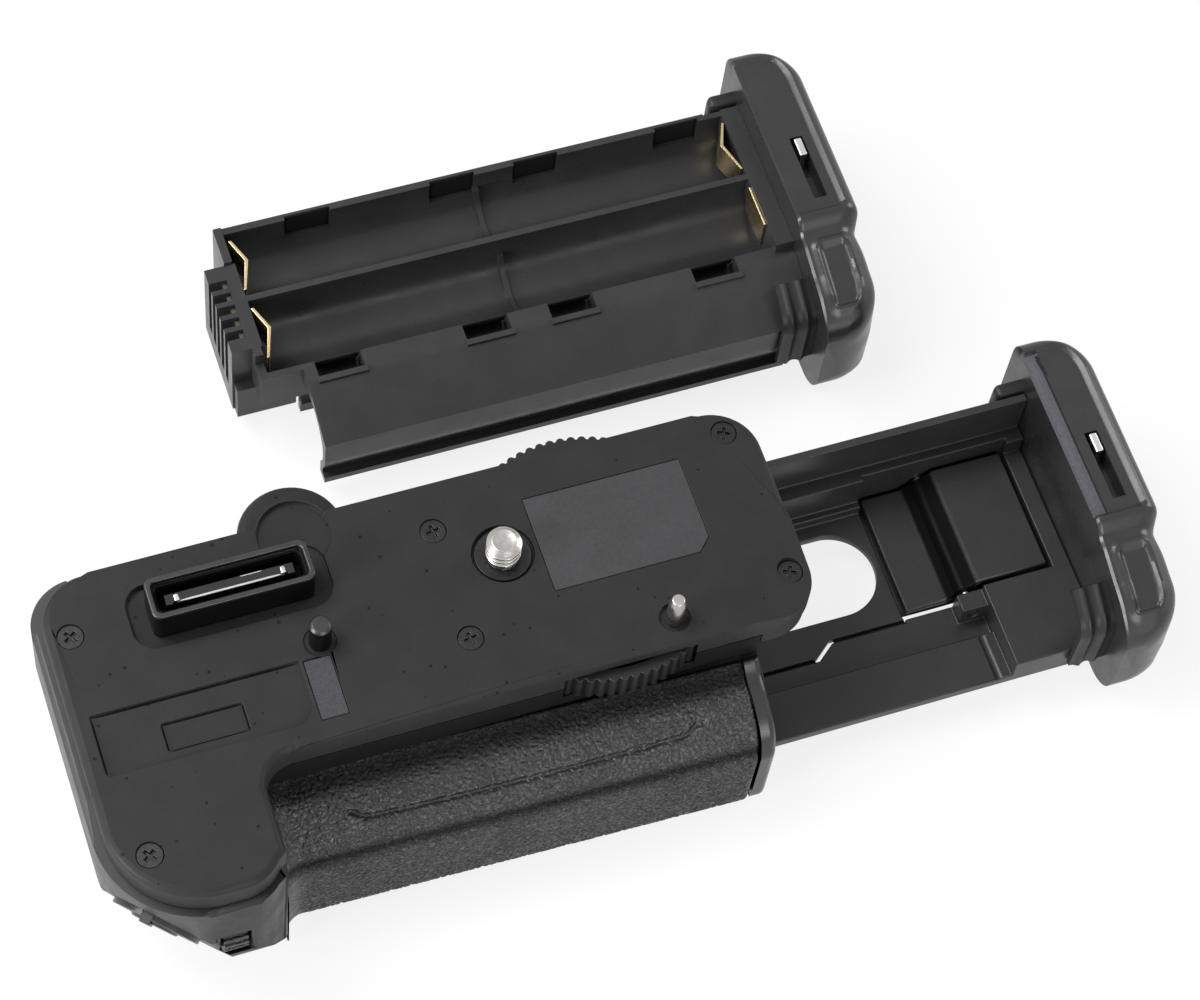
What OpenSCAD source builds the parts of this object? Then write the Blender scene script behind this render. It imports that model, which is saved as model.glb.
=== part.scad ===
// Vertical battery grip for a camera, with its battery holder half drawn out and
// a six cell magazine standing behind it. Millimetres, +Z up, +X to the holder end,
// origin on the camera screw axis in the plane of the deck.

/* [Body] */
// Screw axis to the shutter end of the deck
left_reach = 80.5; // [79.5:0.5:83]
// Screw axis to the holder end of the deck
right_reach = 51.5; // [50.5:0.5:54]
// Screw axis to the rear wall
back_reach = 17; // [16.5:0.25:18]
// Screw axis to the front edge of the deck
front_reach = 25.5; // [25:0.25:26]
// Screw axis to the front of the shutter block
block_reach = 47; // [46:0.5:48.5]
// Deck to base
body_h = 44; // [44:0.25:46]
// Shell wall
wall = 2.2; // [1.9:0.1:2.4]
// Deck plate thickness
deck_t = 2.6; // [2.3:0.1:2.7]
// Depth of the rim that hangs from the deck
rim_h = 6; // [5.6:0.2:6.2]
// How far the shell stands out beyond the deck
skirt = 1.3; // [1:0.1:1.5]
// How far the shutter block stands out beyond the deck
block_skirt = 2.6; // [2.2:0.1:2.8]
// Corner radius of the front bulge at the mouth
nose_r = 8; // [7.6:0.2:8.4]
// Corner radius of the front bulge at the base
toe_r = 3.4; // [3:0.2:4]
// How far the grained rubber stands out beyond the mouth
rubber_out = 1.8; // [1.6:0.1:2.2]
// Thickness of the rubber on the bulge
rubber_t = 1.4; // [1.1:0.1:1.5]

/* [Attachment wheel and screw] */
// Radius of the camera screw, quarter inch thread
screw_r = 3.175; // [3.1:0.025:3.2]
// Height of the camera screw above the deck
screw_h = 5; // [4.5:0.25:5.5]
// Outer radius of the thumbwheel
wheel_r = 24.5; // [24.2:0.1:25]
// Gear module of the wheel and the screw pinion
gear_m = 0.8; // [0.79:0.005:0.81]

/* [Connector and pins] */
// Connector height above the deck
plug_h = 6.6; // [6:0.2:8]
// Connector length
plug_w = 29; // [27:0.5:30]
// Connector depth
plug_d = 8; // [7.5:0.25:8.5]
// Metal locating pin radius
pin_r = 1.6; // [1.4:0.1:1.8]
// Metal locating pin height
pin_h = 6.8; // [6:0.2:7.5]

/* [Controls] */
// Shutter button radius
shutter_r = 5.2; // [4.8:0.1:5.4]
// Front dial radius
front_dial_r = 8.6; // [8.2:0.1:9]
// Rear dial radius
rear_dial_r = 9; // [8.6:0.1:9.4]

/* [Holder and magazine] */
// How far the holder is drawn out in this pose
holder_out = 68.2; // [50:0.2:70]
// Shutter end of the deck to the terminal end of a tray
tray_end = 10.9; // [10.5:0.1:11.5]
// Thickness of the end cap
cap_t = 12.8; // [12:0.1:13.4]
// Radius of a cell trough
cell_r = 7.6; // [7.4:0.05:7.7]
// Magazine shift along X from the fitted place
mag_dx = 38.1; // [30:0.2:45]
// Magazine shift along Y from the fitted place
mag_dy = 77.1; // [74:0.2:90]

/* [Fits] */
// Radial clearance of a running pin
run_gap = 0.05; // [0.03:0.01:0.08]
// Gap between parts that move past each other
move_gap = 0.4; // [0.35:0.05:0.5]
// Gap around inlaid pieces
inlay_gap = 0.1; // [0.08:0.01:0.12]

/* [Hidden] */
$fn = 64;

// Levels
base_z = -body_h;
rim_z = -rim_h;
shell_z = rim_z - 0.4;
roof_top = -10;
roof_t = 1.4;
floor_z = base_z + 4;
base_t = 1.6;

// Places along X
mouth_x = right_reach - 11.3;
block_x = -left_reach + 28.5;
chamber_x = block_x - 6.8;
end_x = -left_reach + 8.9;
rub_x0 = block_x + 2.4;
rub_x1 = mouth_x - 3.4;
overhang_z = -9.8;

// Front bulge, two corner circles and a sloping top that is tangent to the upper one
nose_y = -30.3;
nose_z1 = -25.2;
toe_z = base_z + 0.4 + toe_r;
slope = 28;
lean = 1.5;
end_skirt = 1.7;
lean_x = -6;

// Wheel and screw gears
wheel_n = 29;
pinion_n = 11;
gear_c = gear_m * (wheel_n + pinion_n) / 2;
wheel_dir = -13.3;
wheel_x = gear_c * cos(wheel_dir);
wheel_y = gear_c * sin(wheel_dir);
wheel_top = -deck_t - 0.4;
wheel_bot = -9.2;
web_top = -7.8;

// Shutter control, on the rounded corner and facing along its diagonal
corner_r = 17;
hump_x = -34;
hump_y = back_reach - 1.2;
hump_r = 9.6;
hump_drop = 2.6;
hump_round = 1.6;
shut_x = -left_reach + corner_r;
shut_y = -block_reach + corner_r;
shut_z = -14.5;
shut_tilt = 17;
shut_plane = corner_r - 1;
shut_face = shut_plane - 1;

// Front dial, turns about X
fd_x0 = -left_reach + 15.9;
fd_x1 = fd_x0 + 4.4;
fd_y = -block_reach + 7.4;
fd_z = -23;

// Rear dial, turns about X
rd_x0 = -left_reach + 2.4;
rd_x1 = rd_x0 + 5.2;
rd_y = back_reach - 4.2;
rd_z = -21;

// Rear button and selector
lb_x = -left_reach + 16.3;
lb_z = -14;
sp_x = lb_x;
sp_z = -30;

// Holder, written at its fitted place
hood_x = mouth_x + move_gap;
cap_x1 = hood_x + cap_t;
tray_x0 = -left_reach + tray_end;
tray_y0 = -34.2;
lip_y = tray_y0 + 1;
tray_y1 = 12.8;
tray_z0 = floor_z + 0.7;
tray_top = -17.5;
hood_z = -10.5;
hood_y0 = -21;
hood_y1 = back_reach + 3.4;
cap_out = 2;
cap_z0 = base_z + 0.4;
pivot_x = hood_x - 20.4;
pivot_z = tray_z0 + 4.2;
knob_y = -4;
knob_z = -27;
tab_x = hood_x + 6.2;
tab_y = -6;

// Cell rows of the magazine
row1_y = 4.2;
row2_y = -11.2;
row_z = -20.6;
row3_y = -25.3;
row3_z = tray_z0 + 8.2;
cell_x0 = tray_x0 + 5.5;
cell_x1 = hood_x - 3.7;
cell_l = cell_x1 - cell_x0;
finger_at = [for (f = [9, 38, 55, 84]) f * cell_l / 101];
mag_dz = -0.9;

// Seats of the six deck screws, the last one on the lowered ear
ear_drop = 1;
screw_at = [
  [-left_reach + 4.2, 5.8, 0], [-left_reach + 6.5, -block_reach + 10, 0], [-10.4, 7.8, 0],
  [-10.4, -14, 0], [right_reach - 5.7, 12.1, 0], [right_reach - 3.6, -17.2, -ear_drop]
];

// A profile drawn as (y, z) is carried along X
module along_x(x0, x1) {
  translate([x0, 0, 0])
    rotate([90, 0, 90])
      linear_extrude(x1 - x0)
        children();
}

// A profile drawn as (x, z) is carried along Y
module along_y(y0, y1) {
  translate([0, y1, 0])
    rotate([90, 0, 0])
      linear_extrude(y1 - y0)
        children();
}

// A profile drawn as (x, y) is carried along Z
module along_z(z0, z1) {
  translate([0, 0, z0])
    linear_extrude(z1 - z0)
      children();
}

module box(x0, y0, z0, x1, y1, z1) {
  translate([x0, y0, z0])
    cube([x1 - x0, y1 - y0, z1 - z0]);
}

module rect(x0, y0, x1, y1) {
  translate([x0, y0])
    square([x1 - x0, y1 - y0]);
}

// Rectangle with one corner radius each, counted from (x0, y0) anticlockwise
module rounded(x0, y0, x1, y1, a, b, c, d) {
  polygon([
    [x0 + a, y0], [x1 - b, y0], [x1, y0 + b], [x1, y1 - c],
    [x1 - c, y1], [x0 + d, y1], [x0, y1 - d], [x0, y0 + a]
  ]);
  translate([x0 + a, y0 + a])
    circle(a);
  translate([x1 - b, y0 + b])
    circle(b);
  translate([x1 - c, y1 - c])
    circle(c);
  translate([x0 + d, y1 - d])
    circle(d);
}

// Plan of the deck, drawn in by d
module deck_plan(d) {
  rounded(-left_reach + d, -front_reach + d, right_reach - d, back_reach - d, 0.5, 8 - d, 9 - d, 9 - d);
  intersection() {
    rounded(-left_reach + d, -block_reach + d, block_x - d, 4, corner_r - d, 8 - d, 0.5, 0.5);
    rect(-left_reach - 5, -block_reach - 5, block_x - d, 10);
  }
  translate([hump_x, back_reach - 3])
    circle(7 - d);
  difference() {
    rect(block_x - d - 0.5, -front_reach - 6, block_x + 6, -front_reach + d + 0.5);
    translate([block_x + 6, -front_reach - 6])
      circle(6 + d);
  }
}

// Section of the front bulge, let out by g from the mouth
module nose_section(g) {
  r = nose_r + g;
  ty = nose_y - r * sin(slope);
  tz = nose_z1 + r * cos(slope);
  run = 19;
  toe = max(toe_r + g, 0.4);
  intersection() {
    union() {
      translate([nose_y, nose_z1])
        circle(r);
      translate([nose_y - r + toe, toe_z - toe_r - g + toe])
        circle(toe);
      rect(nose_y - r, toe_z - toe_r - g + toe, nose_y + 16, nose_z1);
      rect(nose_y - r + toe, toe_z - toe_r - g, nose_y + 16, toe_z + 6);
      polygon([
        [nose_y, nose_z1], [ty, tz], [ty + run * cos(slope), tz + run * sin(slope)],
        [ty + run * cos(slope), nose_z1]
      ]);
    }
    rect(-60, base_z, 0, 0);
  }
}

// The bulge runs a little aslant, deeper towards the mouth
module nose_run(x0, x1) {
  intersection() {
    translate([lean_x, nose_y, 0])
      rotate([0, 0, -lean])
        translate([-lean_x, -nose_y, 0])
          along_x(x0 - 2, x1 + 2)
            children();
    box(x0, -70, base_z - 3, x1, 40, 0);
  }
}

// Gear outline with straight flanks and backlash
module gear(n) {
  pitch_r = gear_m * n / 2;
  circle(pitch_r - 1.0);
  for (i = [0 : n - 1])
    rotate(i * 360 / n)
      polygon([
        [pitch_r - 1.3, -0.68], [pitch_r, -0.47], [pitch_r + 0.65, -0.2],
        [pitch_r + 0.65, 0.2], [pitch_r, 0.47], [pitch_r - 1.3, 0.68]
      ]);
}

// Round disc with a scalloped rim
module scalloped(r, n, bump) {
  circle(r - bump * 0.75);
  for (i = [0 : n - 1])
    rotate(i * 360 / n)
      translate([r - bump, 0])
        circle(bump, $fn = 24);
}

// Space swept by the thumbwheel
module wheel_space() {
  translate([wheel_x, wheel_y, wheel_bot - move_gap])
    cylinder(h = -wheel_bot - deck_t + move_gap, r = wheel_r + move_gap + 0.1);
}

// Solid turned to face out of the shutter corner, its own +Z pointing outwards
module at_shutter() {
  translate([shut_x, shut_y, shut_z])
    rotate([0, 0, 225])
      rotate([0, 90 + shut_tilt, 0])
        children();
}

// Section of the shutter block from the front to the back
module block_section() {
  rounded(-block_reach - skirt, base_z, back_reach + block_skirt, 2, 20, 6, 0.5, 0.5);
}

// Section of the shutter block across, its end leaning in below the knee
module end_section() {
  polygon([
    [-left_reach - end_skirt, 2], [-left_reach - end_skirt, -20], [-left_reach + 2, base_z + 7],
    [-left_reach + 9, base_z - 0.5], [block_x, base_z - 0.5], [block_x, 2]
  ]);
}

// Deck plate with its rim, screw bosses and shallow recesses
module top_deck() {
  color([0.09, 0.09, 0.1])
    difference() {
      union() {
        along_z(-deck_t, 0)
          deck_plan(0);
        along_z(rim_z, -deck_t)
          difference() {
            deck_plan(0);
            deck_plan(wall);
          }
        along_z(overhang_z, -deck_t)
          intersection() {
            deck_plan(0.3);
            rect(mouth_x + 0.3, -60, right_reach + 5, 60);
          }
        for (p = screw_at)
          translate([p[0], p[1], rim_z])
            cylinder(h = rim_h - 1, r = 2.8);
        translate([hump_x, hump_y, 0])
          rotate_extrude()
            union() {
              rect(0, rim_z, hump_r, -hump_drop - hump_round);
              rect(0, rim_z, hump_r - hump_round, -hump_drop);
              translate([hump_r - hump_round, -hump_drop - hump_round])
                circle(hump_round);
            }
      }
      translate([hump_x, back_reach - 11, 0])
        rotate([-4, 0, 0])
          translate([0, 8, 0])
            cylinder(h = 5, r = 6.6);
      translate([right_reach - 13.5, -front_reach, 0])
        rotate([0, 0, 55])
          rotate([10, 0, 0])
            translate([-30, -30, 0])
              cube([80, 30, 10]);
      for (p = screw_at)
        translate([p[0], p[1], p[2] - 1.4])
          cylinder(h = 5, r = 2.3 + inlay_gap);
      for (p = screw_at)
        translate([p[0], p[1], rim_z - 1])
          cylinder(h = rim_h, r = 1);
      wheel_space();
      translate([0, 0, -9])
        cylinder(h = 12, r = 3.95 + run_gap);
      translate([0, 0, -1])
        cylinder(h = 3, r = 5.6);
      along_z(-0.6, 3)
        label_plan(-inlay_gap);
      along_z(-1.2, 3)
        rounded(-65.9, -0.6, -30.2, 11.9, 4, 4, 4, 4);
      along_z(-4, -1)
        rounded(-60, 3, -36, 8, 1, 1, 1, 1);
      along_z(-0.6, 3)
        rounded(-left_reach + 3.3, -21.4, -40, -9.7, 1, 4, 0.5, 0.5);
      along_z(-0.5, 3)
        rect(-39.6, -21.7, -34.6, -10.1);
      translate([-35.6, -7.2, -6])
        cylinder(h = 9, r = 1.7);
      translate([25, -20.4, -6])
        cylinder(h = 9, r = pin_r - 0.3);
      translate([25, -20.4, -0.9])
        cylinder(h = 3, r = pin_r + 1.2);
      translate([-35.6, -7.2, -0.3])
        cylinder(h = 3, r = 2.85);
      along_z(-1.1, 3)
        rounded(-66, -19.7, -51.5, -14.2, 0.6, 0.6, 0.6, 0.6);
    }
}

// Soft ring in the seam below the deck rim
module seam_gasket() {
  color([0.03, 0.03, 0.03])
    difference() {
      along_z(shell_z, rim_z)
        difference() {
          deck_plan(0.5);
          deck_plan(wall - 0.2);
        }
      box(mouth_x, -60, -20, 90, 60, 2);
      wheel_space();
    }
}

// Section of the tunnel of the grip, outside
module tunnel_section() {
  rounded(-front_reach, base_z, back_reach + skirt, shell_z, 0.5, 5, 1.2, 0.5);
}

// Recess of the base cover and hole of the tripod socket
module base_recess() {
  along_z(base_z - 1, base_z + base_t)
    rounded(block_x + 4, -28, mouth_x - 4, 10, 3, 3, 3, 3);
  translate([0, 0, base_z - 1])
    cylinder(h = 9, r = 7);
}

// Front wall of the tunnel with its bulge
module lower_shell() {
  color([0.1, 0.1, 0.11])
    difference() {
      intersection() {
        union() {
          nose_run(block_x, rub_x1)
            nose_section(rubber_out - rubber_t);
          nose_run(rub_x1 - 1, mouth_x)
            nose_section(0);
          along_x(block_x, mouth_x)
            rect(-front_reach, base_z, -front_reach + wall, shell_z);
        }
        box(block_x, -60, base_z, mouth_x, -front_reach + wall, shell_z);
      }
      along_x(block_x - 1, mouth_x + 1)
        nose_hollow();
      base_recess();
      wheel_space();
    }
}

// Floor of the tunnel
module floor_panel() {
  color([0.1, 0.1, 0.11])
    difference() {
      along_x(block_x, mouth_x)
        intersection() {
          tunnel_section();
          rect(-front_reach + wall, base_z - 1, back_reach + skirt - wall, floor_z);
        }
      base_recess();
    }
}

// Rear wall of the tunnel with its thumb rest
module rear_panel() {
  color([0.1, 0.1, 0.11])
    difference() {
      union() {
        along_x(block_x, mouth_x)
          intersection() {
            tunnel_section();
            rect(back_reach + skirt - wall, base_z - 1, back_reach + skirt + 1, 0);
          }
        translate([hump_x, hump_y, -16])
          cylinder(h = 16 + shell_z, r = hump_r);
      }
      box(block_x, -20, base_z, mouth_x, back_reach + skirt - wall, 0);
      wheel_space();
    }
}

// Hollow of the bulge
module nose_hollow() {
  intersection() {
    nose_section(-wall);
    rect(-60, floor_z, 0, 0);
  }
}

// Section of the battery chamber
module chamber_section() {
  rect(-front_reach + wall, floor_z, back_reach + skirt - wall, 2);
  nose_hollow();
}

// Shutter block with the seats of the controls and the end of the chamber
module shutter_block() {
  color([0.1, 0.1, 0.11])
    difference() {
      intersection() {
        along_z(base_z, shell_z)
          union() {
            rounded(-left_reach - end_skirt, -block_reach - skirt, block_x, 0, corner_r + end_skirt, 8, 0.5, 0.5);
            rounded(-left_reach - end_skirt, -20, block_x, back_reach + block_skirt, 0.5, 0.5, 0.5, 9);
          }
        along_x(-left_reach - 3, block_x + 2)
          block_section();
        along_y(-block_reach - 1, back_reach + 3)
          end_section();
      }
      along_x(chamber_x, block_x + 1)
        chamber_section();
      box(end_x, -16, floor_z, chamber_x + 1, 13.6, 2);
      box(-left_reach + 2.6, -21, base_z + 8, end_x - 1.4, 0.5, 2);
      at_shutter()
        translate([-40, -40, shut_plane])
          cube([80, 80, 20]);
      at_shutter()
        translate([0, 0, shut_face])
          cylinder(h = 20, r = 8.6);
      at_shutter()
        translate([0, 0, shut_face - 6])
          cylinder(h = 20, r = shutter_r + move_gap);
      along_x(fd_x0 - move_gap, fd_x1 + move_gap)
        translate([fd_y, fd_z])
          circle(front_dial_r + 0.7);
      along_x(fd_x0 - 3.4, fd_x1 + 3.4)
        translate([fd_y, fd_z])
          circle(1.5, $fn = 32);
      along_x(rd_x0 - move_gap, rd_x1 + move_gap)
        translate([rd_y, rd_z])
          circle(rear_dial_r + 0.7);
      along_x(rd_x0 - 1.8, rd_x1 + 1.2)
        translate([rd_y, rd_z])
          circle(1.5, $fn = 32);
      along_y(14.3, back_reach + 3)
        translate([lb_x, lb_z])
          circle(3.6 + move_gap, $fn = 48);
      along_y(14.3, back_reach + 3)
        translate([sp_x, sp_z])
          circle(6.2, $fn = 48);
      box(end_x - 3, -12.1, -36.1, end_x + 2, 3.1, -17.9);
    }
}

// Skin of the bulge between two offsets, left open at the back and the base
module nose_skin(g0, g1) {
  difference() {
    nose_section(g1);
    nose_section(g0);
    rect(-front_reach - 2.4, -60, 30, 0);
    rect(-60, -60, 30, base_z + 1.6);
  }
}

// Grained rubber on the bulge
module bulge_rubber() {
  color([0.05, 0.05, 0.055])
    nose_run(rub_x0, rub_x1)
      nose_skin(rubber_out - rubber_t, rubber_out);
}

// Smooth collar at the holder end of the bulge
module bulge_collar() {
  color([0.11, 0.11, 0.12])
    nose_run(rub_x1 + 0.1, mouth_x)
      nose_skin(0, rubber_out - 0.4);
}

// Rails that guide the tray along the rear wall
module guide_rails() {
  color([0.12, 0.12, 0.13])
    union() {
      box(block_x + 1, tray_y1 + 0.4, -37, mouth_x - 9, back_reach + skirt - wall, -32);
      box(block_x + 1, tray_y1 + 0.4, -25, mouth_x - 9, back_reach + skirt - wall, -20);
    }
}

// Roof of the battery chamber, with the boss that carries the wheel
module chamber_roof() {
  color([0.13, 0.13, 0.14])
    difference() {
      union() {
        box(chamber_x, -front_reach + wall, roof_top - roof_t, mouth_x - 0.2, back_reach + skirt - wall, roof_top);
        translate([wheel_x, wheel_y, roof_top - 0.1])
          cylinder(h = wheel_bot - run_gap - roof_top + 0.1, r = 4.5);
        for (p = [screw_at[2], screw_at[3]])
          translate([p[0], p[1], roof_top - 0.1])
            cylinder(h = rim_z - roof_top + 0.1, r = 2.6);
      }
      translate([wheel_x, wheel_y, roof_top - 5])
        cylinder(h = 12, r = 2);
    }
}

// Contact carrier in the end wall of the chamber
module contact_block() {
  color([0.07, 0.07, 0.08])
    difference() {
      box(end_x - 2.1, -12, -36, end_x + 1, 3, -18);
      for (i = [0 : 4])
        box(end_x - 1, -11 + i * 2.8, -34, end_x + 3, -9.6 + i * 2.8, -22);
    }
}

// Sprung blades in the contact carrier
module contact_blades() {
  color([0.85, 0.66, 0.3])
    for (i = [0 : 4])
      box(end_x - 1, -11 + i * 2.8, -33, end_x + 1.5, -9.6 + i * 2.8, -23);
}

// Circuit board behind the controls
module control_board() {
  color([0.08, 0.3, 0.16])
    difference() {
      box(-left_reach + 2.6, -20, base_z + 8, -left_reach + 4.1, -0.5, -10);
      for (y = [-17, -3])
        translate([-left_reach, y, -14])
          rotate([0, 90, 0])
            cylinder(h = 9, r = 1.2);
    }
}

// Shroud of the plug that reaches into the camera
module plug_shroud() {
  color([0.06, 0.06, 0.065])
    difference() {
      along_z(-1.2, plug_h)
        rounded(-48 - plug_w / 2, 5.6 - plug_d / 2, -48 + plug_w / 2, 5.6 + plug_d / 2, 1.5, 1.5, 1.5, 1.5);
      along_z(0.6, plug_h + 1)
        rounded(-48 - plug_w / 2 + 1.6, 7.2 - plug_d / 2, -48 + plug_w / 2 - 1.6, 4 + plug_d / 2, 1, 1, 1, 1);
      along_z(plug_h - 1, plug_h + 1)
        rounded(-48 - plug_w / 2 + 1, 6.6 - plug_d / 2, -48 + plug_w / 2 - 1, 4.6 + plug_d / 2, 1, 1, 1, 1);
    }
}

// Contact tongue inside the plug
module plug_insert() {
  color([0.75, 0.75, 0.74])
    difference() {
      box(-48 - plug_w / 2 + 3, 4.6, 0.6, -48 + plug_w / 2 - 3, 6.6, plug_h - 2);
      for (i = [0 : 11])
        box(-48 - 10.2 + i * 1.8, 4, 1.4, -48 - 9.6 + i * 1.8, 4.9, plug_h - 1);
    }
}

// Moulded locating peg
module locating_peg() {
  color([0.08, 0.08, 0.085])
    translate([-35.6, -7.2, -deck_t])
      rotate_extrude()
        polygon([
          [0, 0], [1.7, 0], [1.7, deck_t - 0.3], [2, deck_t - 0.3], [2, deck_t + 6.1], [1.5, deck_t + 6.6],
          [0, deck_t + 6.6]
        ]);
}

// Steel locating pin
module locating_pin() {
  color([0.8, 0.79, 0.76])
    translate([25, -20.4, -deck_t])
      rotate_extrude()
        polygon([
          [0, 0], [pin_r - 0.3, 0], [pin_r - 0.3, deck_t - 0.9], [pin_r, deck_t - 0.9],
          [pin_r, deck_t + pin_h - 1.2], [pin_r - 0.5, deck_t + pin_h], [0, deck_t + pin_h]
        ]);
}

// Plan of the label plate, one corner cut
module label_plan(d) {
  polygon([
    [6.6 + d, -9.5 + d], [33.6 - d, -9.5 + d], [36.1 - d, -7 + d],
    [36.1 - d, 9.3 - d], [6.6 + d, 9.3 - d]
  ]);
}

// Bare label plate
module label_plate() {
  color([0.24, 0.24, 0.25])
    along_z(-0.6, -0.1)
      label_plan(0);
}

// Rough rest pad
module rest_pad() {
  color([0.3, 0.3, 0.31])
    along_z(-0.5, -0.05)
      rect(-39.5, -21.6, -34.7, -10.2);
}

// One cross head screw, its head at the origin
module deck_screw() {
  difference() {
    union() {
      translate([0, 0, -1.4])
        cylinder(h = 1.1, r = 2.3, $fn = 32);
      translate([0, 0, rim_z + 0.2])
        cylinder(h = rim_h - 1.5, r = 1, $fn = 32);
    }
    box(-1.2, -0.3, -0.9, 1.2, 0.3, 1);
    box(-0.3, -1.2, -0.9, 0.3, 1.2, 1);
  }
}

// The six screws that hold the deck
module deck_screws() {
  color([0.12, 0.12, 0.13])
    for (p = screw_at)
      translate(p)
        rotate(20 + p[0])
          deck_screw();
}

// Cover let into the base
module base_plate() {
  color([0.12, 0.12, 0.13])
    difference() {
      along_z(base_z + 0.1, base_z + base_t)
        rounded(block_x + 4.1, -27.9, mouth_x - 4.1, 9.9, 2.9, 2.9, 2.9, 2.9);
      translate([0, 0, base_z - 1])
        cylinder(h = 9, r = 7);
      for (p = [[block_x + 10, -22], [block_x + 10, 4], [mouth_x - 10, -22], [mouth_x - 10, 4]])
        translate([p[0], p[1], base_z - 1])
          cylinder(h = 1.9, r = 3.5);
    }
}

// Threaded tripod socket
module tripod_socket() {
  color([0.72, 0.7, 0.66])
    difference() {
      translate([0, 0, base_z + 0.1])
        cylinder(h = floor_z - base_z - 0.1, r = 7);
      translate([0, 0, base_z - 1])
        cylinder(h = 9, r = screw_r);
    }
}

// Four soft feet
module base_pads() {
  color([0.05, 0.05, 0.05])
    for (p = [[block_x + 10, -22], [block_x + 10, 4], [mouth_x - 10, -22], [mouth_x - 10, 4]])
      translate([p[0], p[1], base_z - 0.5])
        cylinder(h = 1.4, r = 3.5, $fn = 32);
}

// Post the thumbwheel turns on
module wheel_axle() {
  color([0.7, 0.7, 0.7])
    translate([wheel_x, wheel_y, roof_top - roof_t])
      cylinder(h = wheel_top - roof_top + roof_t, r = 2);
}

// Pin of the front dial
module front_dial_axle() {
  color([0.7, 0.7, 0.7])
    along_x(fd_x0 - 3.4, fd_x1 + 3.4)
      translate([fd_y, fd_z])
        circle(1.5, $fn = 32);
}

// Pin of the rear dial
module rear_dial_axle() {
  color([0.7, 0.7, 0.7])
    along_x(rd_x0 - 1.8, rd_x1 + 1.2)
      translate([rd_y, rd_z])
        circle(1.5, $fn = 32);
}

// Cup shaped thumbwheel with the driving gear on its hub
module thumbwheel() {
  color([0.08, 0.08, 0.085])
    translate([wheel_x, wheel_y, 0])
      difference() {
        union() {
          along_z(wheel_bot, wheel_top)
            difference() {
              scalloped(wheel_r, 76, 0.8);
              circle(22);
            }
          translate([0, 0, wheel_bot])
            cylinder(h = web_top - wheel_bot, r = 22.5);
          along_z(web_top - 0.1, wheel_top)
            rotate(wheel_dir)
              gear(wheel_n);
        }
        translate([0, 0, -20])
          cylinder(h = 30, r = 2 + run_gap);
      }
}

// Camera screw with its shank, groove and thread
module camera_screw() {
  color([0.82, 0.81, 0.78])
    rotate_extrude()
      polygon(concat(
        [[0, web_top + 0.5], [2.5, web_top + 0.5], [2.5, -deck_t - 0.2], [3.95, -deck_t - 0.2],
         [3.95, -0.95], [3, -0.95], [3, -0.35]],
        [for (i = [0 : 3]) each [
          [screw_r - 0.55, -0.35 + i * 1.27], [screw_r, -0.05 + i * 1.27],
          [screw_r, 0.25 + i * 1.27], [screw_r - 0.55, 0.75 + i * 1.27]
        ]],
        [[screw_r - 0.55, screw_h - 0.25], [screw_r - 0.8, screw_h], [0, screw_h]]
      ));
}

// Pinion on the screw, driven by the wheel
module screw_pinion() {
  color([0.7, 0.6, 0.35])
    difference() {
      along_z(web_top + 0.5, -deck_t - 0.25)
        rotate(wheel_dir + 180 + 180 / pinion_n)
          gear(pinion_n);
      translate([0, 0, -20])
        cylinder(h = 30, r = 2.5);
    }
}

// Clip that keeps the screw in the deck
module screw_clip() {
  color([0.6, 0.6, 0.6])
    difference() {
      translate([0, 0, -0.93])
        cylinder(h = 0.5, r = 5.1);
      translate([0, 0, -3])
        cylinder(h = 6, r = 3);
    }
}

// Shutter button
module shutter_button() {
  color([0.12, 0.12, 0.13])
    at_shutter()
      rotate_extrude()
        polygon([
          [0, shut_face - 4], [shutter_r - 0.6, shut_face - 4], [shutter_r - 0.6, shut_face + 2],
          [shutter_r - 1, shut_face + 2.5], [0, shut_face + 2.1]
        ]);
}

// Lock ring around the shutter button, with its lever
module shutter_ring() {
  color([0.08, 0.08, 0.085])
    at_shutter()
      difference() {
        union() {
          translate([0, 0, shut_face + 0.1])
            cylinder(h = 1.9, r = 8.2);
          translate([-8.4, -1, shut_face + 0.4])
            cube([3, 2, 2.6]);
        }
        translate([0, 0, shut_face - 1])
          cylinder(h = 9, r = shutter_r + move_gap);
      }
}

// Ribbed dial, drawn as (y, z) about its own centre
module dial_section(r, n) {
  difference() {
    union() {
      circle(r - 0.6);
      for (i = [0 : n - 1])
        rotate(i * 360 / n)
          polygon([[r - 1.5, -0.7], [r, -0.4], [r, 0.4], [r - 1.5, 0.7]]);
    }
    circle(1.5 + run_gap, $fn = 32);
  }
}

// Front dial
module front_dial() {
  color([0.07, 0.07, 0.075])
    along_x(fd_x0, fd_x1)
      translate([fd_y, fd_z])
        dial_section(front_dial_r, 28);
}

// Rear dial
module rear_dial() {
  color([0.07, 0.07, 0.075])
    along_x(rd_x0, rd_x1)
      translate([rd_y, rd_z])
        dial_section(rear_dial_r, 30);
}

// Rear lock button
module lock_button() {
  color([0.1, 0.1, 0.11])
    along_y(15.6, back_reach + block_skirt + 1)
      translate([lb_x, lb_z])
        circle(3.6, $fn = 48);
}

// Cross shaped rocker under the selector pad, rocks about X
module selector_gimbal() {
  color([0.2, 0.2, 0.21])
    along_y(14.7, 15.8)
      translate([sp_x, sp_z])
        circle(3.2, $fn = 32);
}

// Selector pad with four raised arms, rocks about Z
module selector_pad() {
  color([0.1, 0.1, 0.11])
    translate([sp_x, 0, sp_z])
      union() {
        along_y(16.3, back_reach + block_skirt + 0.8)
          circle(5.2, $fn = 48);
        along_y(back_reach + block_skirt + 0.7, back_reach + block_skirt + 1.4)
          circle(1.6, $fn = 32);
      }
}

// Everything below that moves with the holder
module drawn() {
  translate([holder_out, 0, 0])
    children();
}

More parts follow.
